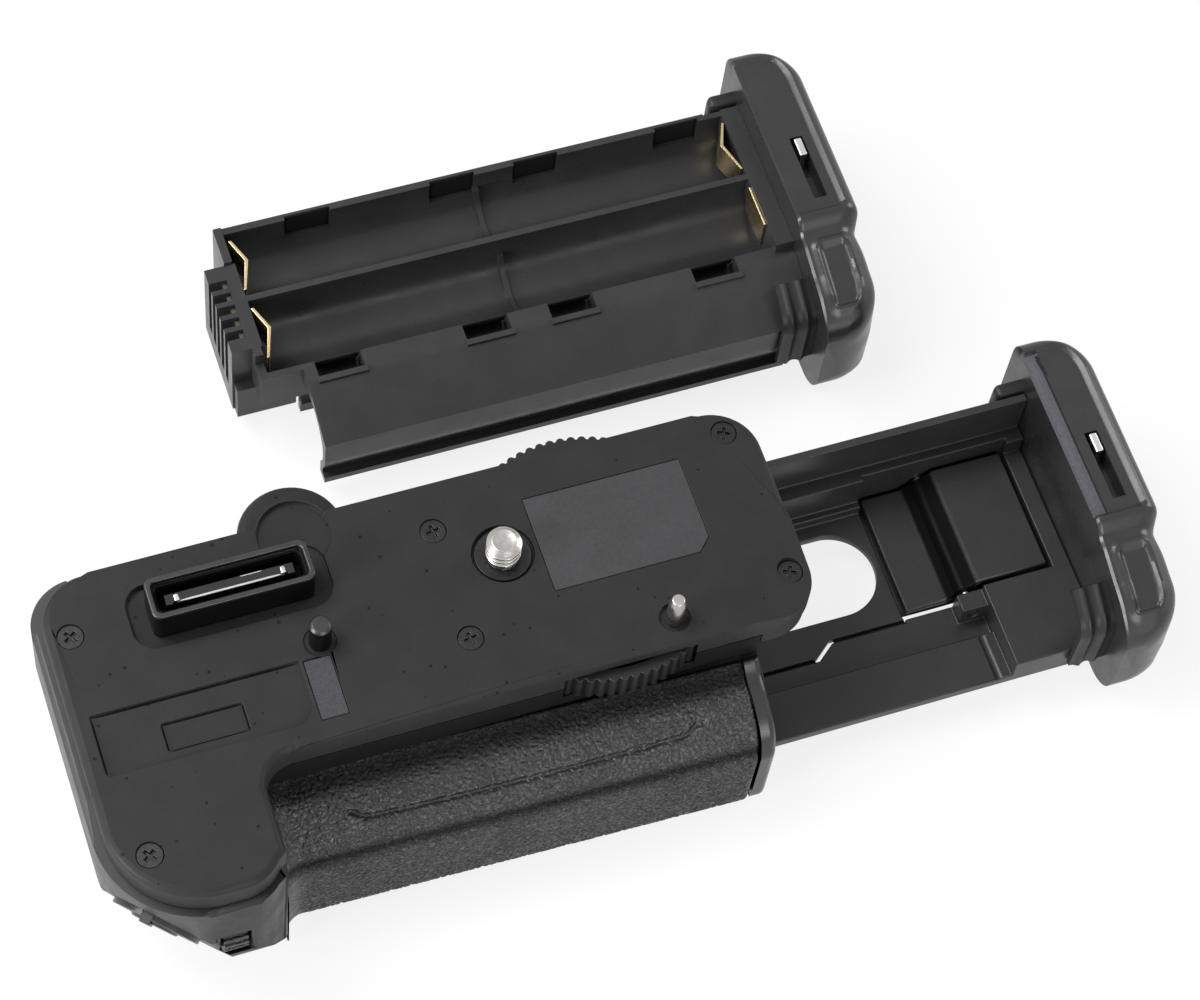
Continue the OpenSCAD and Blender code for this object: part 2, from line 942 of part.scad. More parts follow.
// Everything that moves with the magazine
module stood() {
  translate([mag_dx, mag_dy, mag_dz])
    children();
}

// Battery holder: floor with its window, front ledge, rear rails and raised end
module holder_tray() {
  color([0.14, 0.14, 0.15])
    drawn()
      difference() {
        union() {
          along_x(tray_x0 + 14.2, hood_x)
            polygon([
              [tray_y0, tray_z0 + 1.2], [tray_y0 + 0.9, tray_z0], [tray_y1, tray_z0],
              [tray_y1, tray_top], [tray_y1 - 1.6, tray_top], [tray_y1 - 1.6, tray_z0 + 12],
              [tray_y1 - 4.6, tray_z0 + 12], [tray_y1 - 4.6, tray_z0 + 4], [tray_y1 - 6, tray_z0 + 4],
              [tray_y1 - 6, tray_z0 + 1.8], [-24.6, tray_z0 + 1.8], [-24.6, tray_z0 + 3.3],
              [tray_y0, tray_z0 + 3.3]
            ]);
          box(hood_x - 17.8, tray_y0, tray_z0 + 1.4, hood_x, tray_y1, tray_z0 + 8);
          box(pivot_x - 2.6, -20.6, tray_z0 + 1.6, hood_x - 17, -16.9, tray_z0 + 6.6);
          box(tray_x0 + 16.2, -24.8, tray_z0 + 1.6, tray_x0 + 18.2, tray_y1 - 1, tray_z0 + 12);
          box(tray_x0 + 5, -14, tray_z0 + 0.1, tray_x0 + 15.2, 5, tray_z0 + 3);
          box(tray_x0 + 5, -9.5, tray_z0 + 1.6, tray_x0 + 17.2, 0.5, tray_z0 + 6);
        }
        along_z(tray_z0 - 1, tray_z0 + 3)
          rounded(tray_x0 + 24.2, -12.9, hood_x - 34.1, 4, 8.4, 8.4, 8.4, 8.4);
        along_z(tray_z0 - 1, tray_z0 + 3)
          polygon([
            [tray_x0 + 24.2, -20.4], [hood_x - 51, -20.4], [hood_x - 47.5, -17.6], [hood_x - 32.5, -17.6],
            [hood_x - 32.5, -16.9], [hood_x - 47.8, -16.9], [hood_x - 51.3, -19.7], [tray_x0 + 24.2, -19.7]
          ]);
        box(hood_x - 32.8, -16.9, tray_z0 - 1, hood_x - 3.6, 9.2, tray_z0 + 20);
        translate([pivot_x, 0, pivot_z])
          rotate([90, 0, 0])
            cylinder(h = 80, r = 1.2, center = true, $fn = 32);
        box(hood_x - 120, -14, tray_z0 - 1, tray_x0 + 6, 5, tray_z0 + 9);
      }
}

// Terminal block at the inner end of a tray, its foot reaching on by the given length
module terminal_body(foot) {
  difference() {
    union() {
      box(tray_x0, -13.9, tray_z0, tray_x0 + 6, 4.9, -18.4);
      if (foot > 0)
        box(tray_x0 + 0.4, -15.9, tray_z0, tray_x0 + foot, 2, row_z - 9);
    }
    for (i = [0 : 4])
      box(tray_x0 - 1, -11.2 + i * 2.8, -34.2, tray_x0 + 3.5, -9.4 + i * 2.8, -17);
  }
}

module terminal_metal() {
  for (i = [0 : 4])
    box(tray_x0 + 2.6, -11.2 + i * 2.8, -33.6, tray_x0 + 3.5, -9.4 + i * 2.8, -19.4);
}

// Terminal block of the holder
module holder_terminal() {
  color([0.08, 0.08, 0.085])
    drawn()
      terminal_body(0);
}

// Contacts of the holder: terminals and the three that face the battery
module holder_contacts() {
  color([0.85, 0.66, 0.3])
    drawn()
      union() {
        terminal_metal();
        for (i = [-1 : 1])
          box(tray_x0 + 18.2, -6 + i * 5, tray_z0 + 5, tray_x0 + 19, -4 + i * 5, tray_z0 + 11);
      }
}

// Section of the hood of the end cap, drawn in by d
module hood_section(d) {
  rounded(hood_y0 + d, cap_z0 + d, hood_y1 - d, hood_z - d, 0.5, max(4 - d, 0.5), max(3 - d, 0.5), 2.4);
}

// Section of the front part of the end cap, drawn in by d
module cap_nose(d) {
  intersection() {
    nose_section(cap_out - d);
    polygon([
      [-60, cap_z0 + d], [0, cap_z0 + d], [0, -14 - d], [hood_y0, -14 - d],
      [-34, -18.3 - d], [-60, -32 - d]
    ]);
  }
}

// Section of the end cap, drawn in by d
module cap_section(d) {
  hood_section(d);
  cap_nose(d);
}

// End cap with a shoulder that enters the mouth of the chamber
module cap_body(strip) {
  difference() {
    union() {
      intersection() {
        along_x(hood_x, cap_x1)
          hood_section(0);
        along_z(-60, 0)
          rounded(hood_x, hood_y0, cap_x1, hood_y1, 0.5, 8, 9, 0.5);
        along_y(-60, 60)
          rounded(hood_x, cap_z0, cap_x1, hood_z, 0.5, 4, 3.4, 0.5);
      }
      intersection() {
        along_x(hood_x, cap_x1)
          cap_nose(0);
        along_z(-60, 0)
          rounded(hood_x, nose_y - nose_r - cap_out, cap_x1 - 0.2, hood_y0 + 12, 0.5, 9, 3, 0.5);
        along_y(-60, 60)
          polygon([
            [hood_x, cap_z0], [cap_x1 - 3, cap_z0], [cap_x1 - 0.2, cap_z0 + 4], [cap_x1 - 0.4, -31],
            [cap_x1 - 4, -13], [hood_x, -13]
          ]);
      }
      along_x(hood_x - 7, hood_x + 0.1)
        difference() {
          cap_section(5);
          cap_section(6);
          rect(tray_y0 - 0.05, -60, tray_y1 + 0.1, tray_z0 + 9);
          rect(lip_y, -60, tray_y1 + 0.1, 10);
          rect(-60, hood_z - 5, 60, 10);
        }
    }
    along_z(hood_z - 0.4, 3)
      rounded(hood_x - 9, hood_y0 + 1.8, cap_x1 - 2.2, hood_y1 - 2.4, 0.5, 6, 7, 0.5);
    if (strip)
      box(hood_x - 1, -60, hood_z - 1, hood_x + 2.7, 60, 2);
    along_z(-17, 2)
      rounded(tab_x - 1.3, tab_y - 9.6, tab_x + 1.3, tab_y + 4.6, 0.4, 0.4, 0.4, 0.4);
    translate([cap_x1 - 3.4, knob_y, knob_z])
      rotate([0, 90, 0])
        cylinder(h = 9, r = 11.2);
    translate([cap_x1 - 8, knob_y, knob_z])
      rotate([0, 90, 0])
        cylinder(h = 9, r = 2.5 + run_gap);
  }
}

// Soft ring on the shoulder, two ribs
module gasket_body() {
  for (x = [hood_x - 5.8, hood_x - 2.8])
    along_x(x, x + 1.2)
      difference() {
        cap_section(4.6);
        cap_section(5);
        rect(tray_y0 - 0.05, -60, tray_y1 + 0.1, tray_z0 + 9);
        rect(lip_y, -60, tray_y1 + 0.1, 10);
        rect(-60, hood_z - 5, 60, 10);
      }
}

// Turn knob of the cap lock
module knob_body() {
  translate([cap_x1 - 3.3, knob_y, knob_z])
    rotate([0, 90, 0])
      union() {
        difference() {
          cylinder(h = 2.9, r = 10.8);
          translate([0, 0, 1])
            cylinder(h = 4, r = 9.4);
        }
        translate([-9.6, -2, 0.9])
          cube([19.2, 4, 2]);
        translate([0, 0, -4.4])
          cylinder(h = 4.5, r = 2.5);
      }
}

// Bright locking tab in the slot of the cap
module tab_body() {
  box(tab_x - 0.8, tab_y, -16.7, tab_x + 0.8, tab_y + 4, hood_z);
}

// End cap of the holder
module holder_cap() {
  color([0.1, 0.1, 0.11])
    drawn()
      cap_body(true);
}

// Seal of the holder
module holder_gasket() {
  color([0.04, 0.04, 0.04])
    drawn()
      gasket_body();
}

// Lever that lifts the battery out: low plate, step and thumb plate
module eject_lever() {
  color([0.13, 0.13, 0.14])
    drawn()
      difference() {
        union() {
          along_y(-16.1, 8.5)
            polygon([
              [hood_x - 32.2, tray_z0 + 1.8], [hood_x - 23.9, tray_z0 + 1.8], [hood_x - 17.6, tray_z0 + 6.6],
              [hood_x - 4.4, tray_z0 + 6.6], [hood_x - 4.4, tray_z0 + 8.2], [hood_x - 18.2, tray_z0 + 8.2],
              [hood_x - 24.5, tray_z0 + 3.4], [hood_x - 32.2, tray_z0 + 3.4]
            ]);
          translate([pivot_x, -3.8, pivot_z])
            rotate([90, 0, 0])
              cylinder(h = 24.6, r = 2.3, center = true, $fn = 48);
        }
        translate([pivot_x, 0, pivot_z])
          rotate([90, 0, 0])
            cylinder(h = 80, r = 1.2 + run_gap, center = true, $fn = 32);
      }
}

// Pin the lever rocks on
module eject_pin() {
  color([0.75, 0.75, 0.74])
    drawn()
      translate([pivot_x, 0, pivot_z])
        rotate([90, 0, 0])
          translate([0, 0, -12])
            cylinder(h = 32, r = 1.2, $fn = 32);
}

// Knob of the holder
module holder_knob() {
  color([0.13, 0.13, 0.14])
    drawn()
      knob_body();
}

// Tab of the holder
module holder_tab() {
  color([0.85, 0.85, 0.84])
    drawn()
      tab_body();
}

// Cell magazine: two open rows above, one row open below, finger windows
module cell_frame() {
  color([0.12, 0.12, 0.13])
    stood()
      difference() {
        union() {
          difference() {
            along_x(cell_x0 - 1.6, hood_x)
              union() {
                rect(row2_y - 8.8, row_z - 9, tray_y1, row_z);
                rect(tray_y1 - 1.6, tray_z0, tray_y1, tray_top - 0.6);
                rect(-4.25, row_z - 6, -2.75, -17.8);
                rect(row2_y - 8.8, row_z - 5, row2_y - 7.3, row_z + 0.5);
              }
            along_x(cell_x0, cell_x1)
              union() {
                translate([row1_y, row_z])
                  circle(cell_r);
                translate([row2_y, row_z])
                  circle(cell_r);
              }
            for (x = finger_at)
              box(cell_x0 + x + 3.2, tray_y1 - 3, row_z - 3.4, cell_x0 + x + 12.2, tray_y1 - 0.6, -10);
          }
          difference() {
            along_x(tray_x0 + 12.2, hood_x)
              union() {
                translate([row3_y, row3_z])
                  circle(cell_r + 1.3);
                polygon([
                  [row3_y + 5.3, row_z + 0.5], [row3_y + 2.5, row_z + 0.5], [row3_y - 8.9, row3_z + 5.7],
                  [row3_y - 8.9, row3_z], [row3_y + 5.3, row3_z]
                ]);
                rect(row3_y - 7.4, tray_z0, row3_y - 6, row3_z - 5);
                rect(row3_y - 8.9, tray_z0, row3_y - 6, tray_z0 + 1.6);
                rect(row3_y + 7.2, tray_z0, row3_y + 8.6, row3_z);
              }
            along_x(tray_x0 + 11.2, cell_x1)
              union() {
                translate([row3_y, row3_z])
                  circle(cell_r - 0.1);
                rect(row3_y - 6, tray_z0 - 2, row3_y + 7.2, row3_z - 4);
              }
            along_x(tray_x0 + 11.2, cell_x1)
              translate([row2_y, row_z])
                circle(cell_r);
            box(cell_x1 - 1, -60, tray_z0 - 1, hood_x + 1, 60, tray_z0 + 1.6);
          }
          along_x(cell_x0 + 50, cell_x0 + 51)
            difference() {
              rect(row2_y - 8, row_z - 8, tray_y1 - 0.5, row_z - 2);
              translate([row1_y, row_z])
                circle(cell_r - 1);
              translate([row2_y, row_z])
                circle(cell_r - 1);
            }
          for (x = finger_at)
            box(cell_x0 + x - 0.3, row2_y - 12.4, row_z - 3.5, cell_x0 + x + 9.3, row2_y - 11.2, row_z + 0.9);
          box(cell_x0 - 1.6, row2_y - 5, row_z - 9, cell_x0, tray_y1, -17.6);
          box(cell_x1, row2_y - 8.8, row_z - 9, hood_x, tray_y1, -17.6);
        }
        for (x = finger_at)
          box(cell_x0 + x, row2_y - 11.2, row_z - 4.6, cell_x0 + x + 9, row2_y - 6, row_z + 4);
        box(hood_x - 120, -14, tray_z0 - 1, tray_x0 + 6, 5, -15);
        box(hood_x - 7.2, 12.5, -60, hood_x - 0.2, 20, -10);
        along_x(hood_x - 7.2, hood_x + 1)
          intersection() {
            difference() {
              cap_section(4.4);
              cap_section(6.2);
            }
            rect(-60, tray_z0 + 8.9, lip_y + 0.1, hood_z - 4.8);
          }
      }
}

// Terminal block of the magazine
module cell_terminal() {
  color([0.08, 0.08, 0.085])
    stood()
      terminal_body(12);
}

// Terminals of the magazine
module cell_contacts() {
  color([0.85, 0.66, 0.3])
    stood()
      terminal_metal();
}

// Bowed contact of one cell, drawn as (x, y) from its wall
module bowed(s) {
  polygon([
    [0, -5.6], [s * 0.5, -5.6], [s * 2.6, 0.6], [s * 0.6, 5.6], [0, 5.6], [s * 1.9, 0.6]
  ]);
}

// Sprung contacts at the terminal end
module cell_springs() {
  color([0.83, 0.66, 0.32])
    stood()
      for (y = [row1_y, row2_y])
        translate([tray_x0 + 6, y, 0])
          along_z(row_z - 4.5, row_z + 2.6)
            bowed(1);
}

// Contact plates at the cap end
module cell_plates() {
  color([0.83, 0.66, 0.32])
    stood()
      union() {
        translate([cell_x1, row1_y, 0])
          along_z(row_z - 4.5, row_z + 2.6)
            bowed(-1);
        box(cell_x1 - 0.5, row2_y - 3.4, row_z - 5, cell_x1, row2_y + 5.5, row_z + 2.4);
      }
}

// Contacts of the lower row
module cell_under_contacts() {
  color([0.83, 0.66, 0.32])
    stood()
      box(cell_x1 - 0.5, row3_y - 4, row3_z - 4, cell_x1, row3_y + 4, row3_z + 4);
}

// End cap of the magazine
module cell_cap() {
  color([0.1, 0.1, 0.11])
    stood()
      cap_body(false);
}

// Seal of the magazine
module cell_gasket() {
  color([0.04, 0.04, 0.04])
    stood()
      gasket_body();
}

// Knob of the magazine
module cell_knob() {
  color([0.13, 0.13, 0.14])
    stood()
      knob_body();
}

// Tab of the magazine
module cell_tab() {
  color([0.85, 0.85, 0.84])
    stood()
      tab_body();
}

top_deck();
seam_gasket();
lower_shell();
floor_panel();
rear_panel();
shutter_block();
bulge_rubber();
bulge_collar();
chamber_roof();
guide_rails();
contact_block();
contact_blades();
control_board();
plug_shroud();
plug_insert();
locating_peg();
locating_pin();
label_plate();
rest_pad();
deck_screws();
base_plate();
tripod_socket();
base_pads();
wheel_axle();
front_dial_axle();
rear_dial_axle();
thumbwheel();
camera_screw();
screw_pinion();
screw_clip();
shutter_button();
shutter_ring();
front_dial();
rear_dial();
lock_button();
selector_gimbal();
selector_pad();
holder_tray();
holder_terminal();
holder_contacts();
holder_cap();
holder_gasket();
eject_lever();
eject_pin();
holder_knob();
holder_tab();
cell_frame();
cell_terminal();
cell_contacts();
cell_springs();
cell_plates();
cell_under_contacts();
cell_cap();
cell_gasket();
cell_knob();
cell_tab();
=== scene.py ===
"""Dresses the camera battery grip: finishes, fine surfaces, studio and camera.

Every length in this file is in millimetres until a mesh is made, and every
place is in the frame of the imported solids: +Z out of the deck along the camera
screw, +X towards the battery holder, +Y towards the photographer.
"""

import logging
import math
from dataclasses import dataclass, field, replace
from enum import Enum

import bmesh
import bpy
import numpy as np
from mathutils import Matrix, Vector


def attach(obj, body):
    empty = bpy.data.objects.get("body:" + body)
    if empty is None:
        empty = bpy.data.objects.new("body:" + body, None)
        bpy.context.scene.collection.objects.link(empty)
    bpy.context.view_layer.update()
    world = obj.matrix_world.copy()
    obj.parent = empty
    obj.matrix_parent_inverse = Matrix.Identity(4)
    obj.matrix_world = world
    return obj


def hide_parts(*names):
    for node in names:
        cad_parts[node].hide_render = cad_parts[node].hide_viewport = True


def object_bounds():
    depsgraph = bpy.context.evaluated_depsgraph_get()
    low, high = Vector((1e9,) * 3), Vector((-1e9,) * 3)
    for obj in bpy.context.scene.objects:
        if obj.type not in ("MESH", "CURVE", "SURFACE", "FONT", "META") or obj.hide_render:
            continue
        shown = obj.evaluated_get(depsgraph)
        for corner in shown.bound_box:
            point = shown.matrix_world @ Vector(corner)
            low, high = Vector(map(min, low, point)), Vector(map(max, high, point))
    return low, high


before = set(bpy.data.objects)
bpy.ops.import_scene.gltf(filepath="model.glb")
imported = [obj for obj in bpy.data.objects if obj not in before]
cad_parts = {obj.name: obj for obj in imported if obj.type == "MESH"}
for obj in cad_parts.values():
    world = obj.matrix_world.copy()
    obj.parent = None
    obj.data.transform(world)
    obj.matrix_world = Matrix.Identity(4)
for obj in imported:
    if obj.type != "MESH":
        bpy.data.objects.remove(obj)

CAD_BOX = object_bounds()
MM = 0.001
LOG = logging.getLogger("grip")

Array = np.ndarray
Colour = tuple[float, float, float]
Obj = bpy.types.Object
Socket = bpy.types.NodeSocket

# Dust specks, polished left end and painted shade bands of the moulded finishes.
SPECK_CELL = 2.3
SPECK_SIZE = 0.16
SPECK_COLOUR = (0.004, 0.004, 0.004)
SPECKED_X = (-30.0, 20.0)
POLISHED_X = (-72.0, -64.0)
PAINTED_SHADE_FADE = 0.7
PAINTED_SHADE_LEAST = 0.1
PAINTED_SHADE_COLOUR = (0.003, 0.003, 0.0032)
# Lumps and creases of their patterns, and the painted shade of the grip skin.
DRIFT_LUMP = 9.0
GLOSS_LUMP = 5.0
GLOSS_SPREAD = 0.06
BEND_LUMP = 1.7
BEND_REACH = 0.9
PEBBLE_SHARE = 2.6
CREASE = 0.28
PAD_LUMP = 0.7
GRIP_SHADE_FACTOR = 0.12
GRIP_SHADE_GLOSS = 0.15
# Merging, in metres for new meshes and in millimetres for solids, and angles in degrees.
WELD = 1e-7
MERGE_GAP = 0.002
SHADE_ANGLE = 32.0
WEIGHT_ANGLE = 24.0
BEVEL_ANGLE = 40.0
# Which edges of the deck and the shutter block are rounded widely.
RIM_FACE_BELOW = -0.7
RIM_EDGE_ABOVE = -0.2
RIM_CLEAR_OF_SCREW = 9.0
LONG_EDGE = 4.0


class Feature(Enum):
    """Kinds of moulded relief a finish can carry."""

    SPARK = "spark eroded fine texture"
    GRAIN = "leather like grain"
    PLAIN = "almost smooth moulding"
    PAD = "rough open pad"


class Rounding(Enum):
    """Which edges of a solid take a wide rounding."""

    RIM = "the outer rim below a flat top"
    LONG = "long straight edges"


class Graph:
    """Adds and joins the nodes of one tree."""

    def __init__(self, tree: bpy.types.NodeTree) -> None:
        """Takes the tree to work on."""
        self.tree = tree

    def add(self, kind: str, out: int | str, props: dict | None = None, **values: object) -> Socket:
        """Adds a node.

        Args:
            kind: node type; a shader node goes without its ShaderNode prefix.
            out: output socket to hand back.
            props: settings of the node itself.
            values: input sockets by name or by "i0", "i1" for an index.

        Returns:
            The output socket.
        """
        node = self.tree.nodes.new(kind if "Node" in kind else "ShaderNode" + kind)
        for key, value in (props or {}).items():
            setattr(node, key, value)
        for key, value in values.items():
            name = key.replace("_", " ")
            socket = node.inputs[int(key[1:])] if key[0] == "i" and key[1:].isdigit() else node.inputs[name]
            self.put(socket, value)
        return node.outputs[out]

    def put(self, socket: Socket, value: object) -> None:
        """Links a socket to another one, or sets its constant."""
        if isinstance(value, Socket):
            self.tree.links.new(value, socket)
        else:
            socket.default_value = value

    def math(self, way: str, a: object, b: object = 0.0) -> Socket:
        """Returns one arithmetic step on two values."""
        return self.add("Math", 0, {"operation": way}, i0=a, i1=b)


class Group(Graph):
    """Geometry node group with one geometry in and one out."""

    def __init__(self, name: str) -> None:
        """Makes the group and its input."""
        super().__init__(bpy.data.node_groups.new(name, "GeometryNodeTree"))
        for way in ("INPUT", "OUTPUT"):
            self.tree.interface.new_socket("Geometry", in_out=way, socket_type="NodeSocketGeometry")
        self.start = self.add("NodeGroupInput", 0)

    def close(self, shape: Socket) -> bpy.types.NodeTree:
        """Hands a geometry to the group's output and returns the group."""
        self.put(self.tree.nodes.new("NodeGroupOutput").inputs[0], shape)
        return self.tree


class Wires(Graph):
    """Adds and joins the shader nodes of one material."""

    def __init__(self, name: str) -> None:
        """Makes an empty material with its principled shader."""
        self.material = bpy.data.materials.new(name)
        self.material.use_nodes = True
        super().__init__(self.material.node_tree)
        self.shader = self.tree.nodes["Principled BSDF"]
        self.place = self.tree.nodes.new("ShaderNodeTexCoord").outputs["Object"]

    def noise(self, size: float, detail: float, rough: float, place: object = None) -> Socket:
        """Returns fractal noise whose lumps are about size millimetres wide."""
        where = self.place if place is None else place
        return self.add(
            "TexNoise", "Fac", Vector=where, Scale=1.0 / (size * MM), Detail=detail, Roughness=rough)

    def stretched(self, scale: tuple[float, float, float]) -> Socket:
        """Returns Object coordinates scaled by axis, for drawn out patterns."""
        return self.add("Mapping", 0, Vector=self.place, Scale=scale)

    def cells(self, size: float, feature: str, out: str, place: object = None) -> Socket:
        """Returns a cellular pattern whose cells are about size millimetres wide."""
        where = self.place if place is None else place
        return self.add("TexVoronoi", out, {"feature": feature}, Vector=where, Scale=1.0 / (size * MM))

    def ramp(self, value: object, low: float, high: float, a: float = 0.0, b: float = 1.0) -> Socket:
        """Returns value carried smoothly from the span low..high to a..b."""
        return self.add(
            "MapRange", 0, {"interpolation_type": "SMOOTHSTEP"}, Value=value,
            From_Min=low, From_Max=high, To_Min=a, To_Max=b,
        )

    def across(self, low: float, high: float, a: float, b: float, axis: int = 0) -> Socket:
        """Returns a value that goes from a to b between two places along an axis, in millimetres."""
        return self.ramp(self.add("SeparateXYZ", axis, Vector=self.place), low * MM, high * MM, a, b)

    def blend(self, share: object, a: Colour | Socket, b: Colour | Socket) -> Socket:
        """Returns a colour between two by share."""
        low, high = ((*c, 1.0) if isinstance(c, tuple) else c for c in (a, b))
        return self.add("Mix", 2, {"data_type": "RGBA"}, i0=share, i6=low, i7=high)

    def bump(self, height: object, depth: float, strength: float) -> Socket:
        """Returns a normal raised by height, depth in millimetres."""
        return self.add("Bump", 0, Height=height, Distance=depth * MM, Strength=strength)

    def set(self, **values: object) -> None:
        """Sets sockets of the principled shader by name."""
        for key, value in values.items():
            self.put(self.shader.inputs[key.replace("_", " ")], value)


@dataclass(frozen=True)
class Moulded:
    """Moulded plastic or rubber with colour drift, relief and uneven gloss."""

    name: str
    colour: Colour
    rough: float
    relief: Feature = Feature.PLAIN
    grain: float = 0.5
    depth: float = 0.01
    strength: float = 0.4
    specular: float = 0.3
    specks: float = 0.0
    drift: float = 0.16
    # point attribute that holds painted shade; empty for none
    stain_and_painted_shade: str = ""
    polish: float = 0.0
    # span of painted shade in millimetres along the axis below; (0, 0) for none
    painted_shade_span: tuple[float, float] = (0.0, 0.0)
    painted_shade_axis: int = 0

    def material(self) -> bpy.types.Material:
        """Builds the shader: drifting colour, dark specks, relief, gloss and painted shade.

        Returns:
            The finished material.
        """
        w = Wires(self.name)
        low = tuple(c * (1.0 - self.drift) for c in self.colour)
        high = tuple(c * (1.0 + self.drift) for c in self.colour)
        drift = w.ramp(w.noise(DRIFT_LUMP, 4.0, 0.6), 0.3, 0.7)
        fine = w.noise(self.grain, 2.0, 0.5)
        spread = w.math("MULTIPLY", w.ramp(fine, 0.3, 0.7), 0.45)
        tone = w.math("ADD", w.math("MULTIPLY", drift, 0.55), spread)
        height = fine
        if self.relief is Feature.GRAIN:
            stir = w.add("TexNoise", "Color", Vector=w.place, Scale=1.0 / (BEND_LUMP * MM), Detail=2.0)
            push = w.add("VectorMath", 0, {"operation": "SCALE"}, i0=stir, Scale=BEND_REACH * MM)
            bent = w.add("VectorMath", 0, {"operation": "ADD"}, i0=w.place, i1=push)
            edge = w.cells(self.grain * PEBBLE_SHARE, "DISTANCE_TO_EDGE", "Distance", bent)
            ridge = w.ramp(edge, 0.0, CREASE)
            height = w.math("ADD", w.math("MULTIPLY", ridge, 0.8), w.math("MULTIPLY", fine, 0.3))
            # painted shade: the colour darkens in the creases between the pebbles
            tone = w.math("MULTIPLY", tone, w.ramp(ridge, 0.0, 1.0, 0.45, 1.0))
        if self.relief is Feature.PAD:
            height = w.math("ADD", fine, w.noise(PAD_LUMP, 3.0, 0.7))
            tone = w.ramp(height, 0.7, 1.3)
        # painted shade: a point attribute darkens the colour towards a dark copy of it
        if self.stain_and_painted_shade:
            painted_shade = w.add("Attribute", "Fac", {"attribute_name": self.stain_and_painted_shade})
            low = tuple(c * GRIP_SHADE_FACTOR for c in self.colour)
            tone = w.math("MULTIPLY", painted_shade, tone)
        colour = w.blend(tone, low, high)
        if self.specks:
            spot = w.cells(SPECK_CELL, "F1", "Distance")
            lot = w.add("SeparateColor", 0, Color=w.cells(SPECK_CELL, "F1", "Color"))
            size = w.ramp(lot, 1.0 - self.specks, 1.0, 0.0, SPECK_SIZE)
            size = w.math("MULTIPLY", size, w.across(*SPECKED_X, 1.0, 0.7))
            dark = w.math("LESS_THAN", spot, size)
            colour = w.blend(dark, colour, SPECK_COLOUR)
        least, most = self.rough - GLOSS_SPREAD, self.rough + GLOSS_SPREAD
        gloss = w.ramp(w.noise(GLOSS_LUMP, 3.0, 0.6), 0.25, 0.75, least, most)
        w.set(Base_Color=colour, Roughness=gloss, Normal=w.bump(height, self.depth, self.strength))
        w.set(Specular_IOR_Level=self.specular)
        if self.polish:
            w.set(Specular_IOR_Level=w.across(*POLISHED_X, self.polish, self.specular))
        # painted shade: colour and gloss darken inside the span
        if self.painted_shade_span[1]:
            low, high = self.painted_shade_span
            fade = w.across(low, low + PAINTED_SHADE_FADE, 1.0, PAINTED_SHADE_LEAST, self.painted_shade_axis)
            lit = w.math("MAXIMUM", fade, w.across(high - PAINTED_SHADE_FADE, high, PAINTED_SHADE_LEAST, 1.0, self.painted_shade_axis))
            w.set(Specular_IOR_Level=w.math("MULTIPLY", lit, self.specular))
            w.set(Base_Color=w.blend(lit, PAINTED_SHADE_COLOUR, colour))
        # painted shade also dims the gloss where the attribute is low
        if self.stain_and_painted_shade:
            w.set(Specular_IOR_Level=w.ramp(painted_shade, 0.0, 1.0, GRIP_SHADE_GLOSS * self.specular, self.specular))
        return w.material


@dataclass(frozen=True)
class Metal:
    """Turned, drawn or plated metal with streaks, dulled spots and tiny scratches."""

    name: str
    colour: Colour
    rough: float
    streak: tuple[float, float, float] = (1.0, 1.0, 12.0)
    dull: float = 0.18

    def material(self) -> bpy.types.Material:
        """Builds the shader: streaked gloss, stained colour and shallow scratches.

        Returns:
            The finished material.
        """
        w = Wires(self.name)
        lines = w.noise(1.1, 4.0, 0.65, w.stretched(self.streak))
        stain = w.ramp(w.noise(2.6, 4.0, 0.6), 0.4, 0.75)
        stain_and_painted_shade = tuple(c * (1.0 - self.dull) for c in self.colour)
        w.set(Base_Color=w.blend(stain, self.colour, stain_and_painted_shade), Metallic=1.0)
        w.set(Roughness=w.ramp(lines, 0.2, 0.8, self.rough * 0.7, self.rough * 1.4))
        w.set(Normal=w.bump(lines, 0.012, 0.35))
        return w.material


@dataclass(frozen=True)
class Laminate:
    """Circuit board: green mask over copper tracks with tinned pads."""

    name: str = "board_laminate"

    def material(self) -> bpy.types.Material:
        """Builds the shader from brick shaped tracks and round pads.

        Returns:
            The finished material.
        """
        w = Wires(self.name)
        track = w.add("TexBrick", "Fac", Vector=w.place, Scale=90.0, Mortar_Size=0.06)
        pad = w.math("LESS_THAN", w.cells(2.4, "F1", "Distance"), 0.28)
        mask = w.blend(track, (0.02, 0.11, 0.05), (0.05, 0.2, 0.09))
        tin = w.blend(pad, mask, (0.55, 0.55, 0.5))
        w.set(Base_Color=tin, Roughness=w.ramp(pad, 0.0, 1.0, 0.35, 0.5), Normal=w.bump(track, 0.03, 0.5))
        return w.material


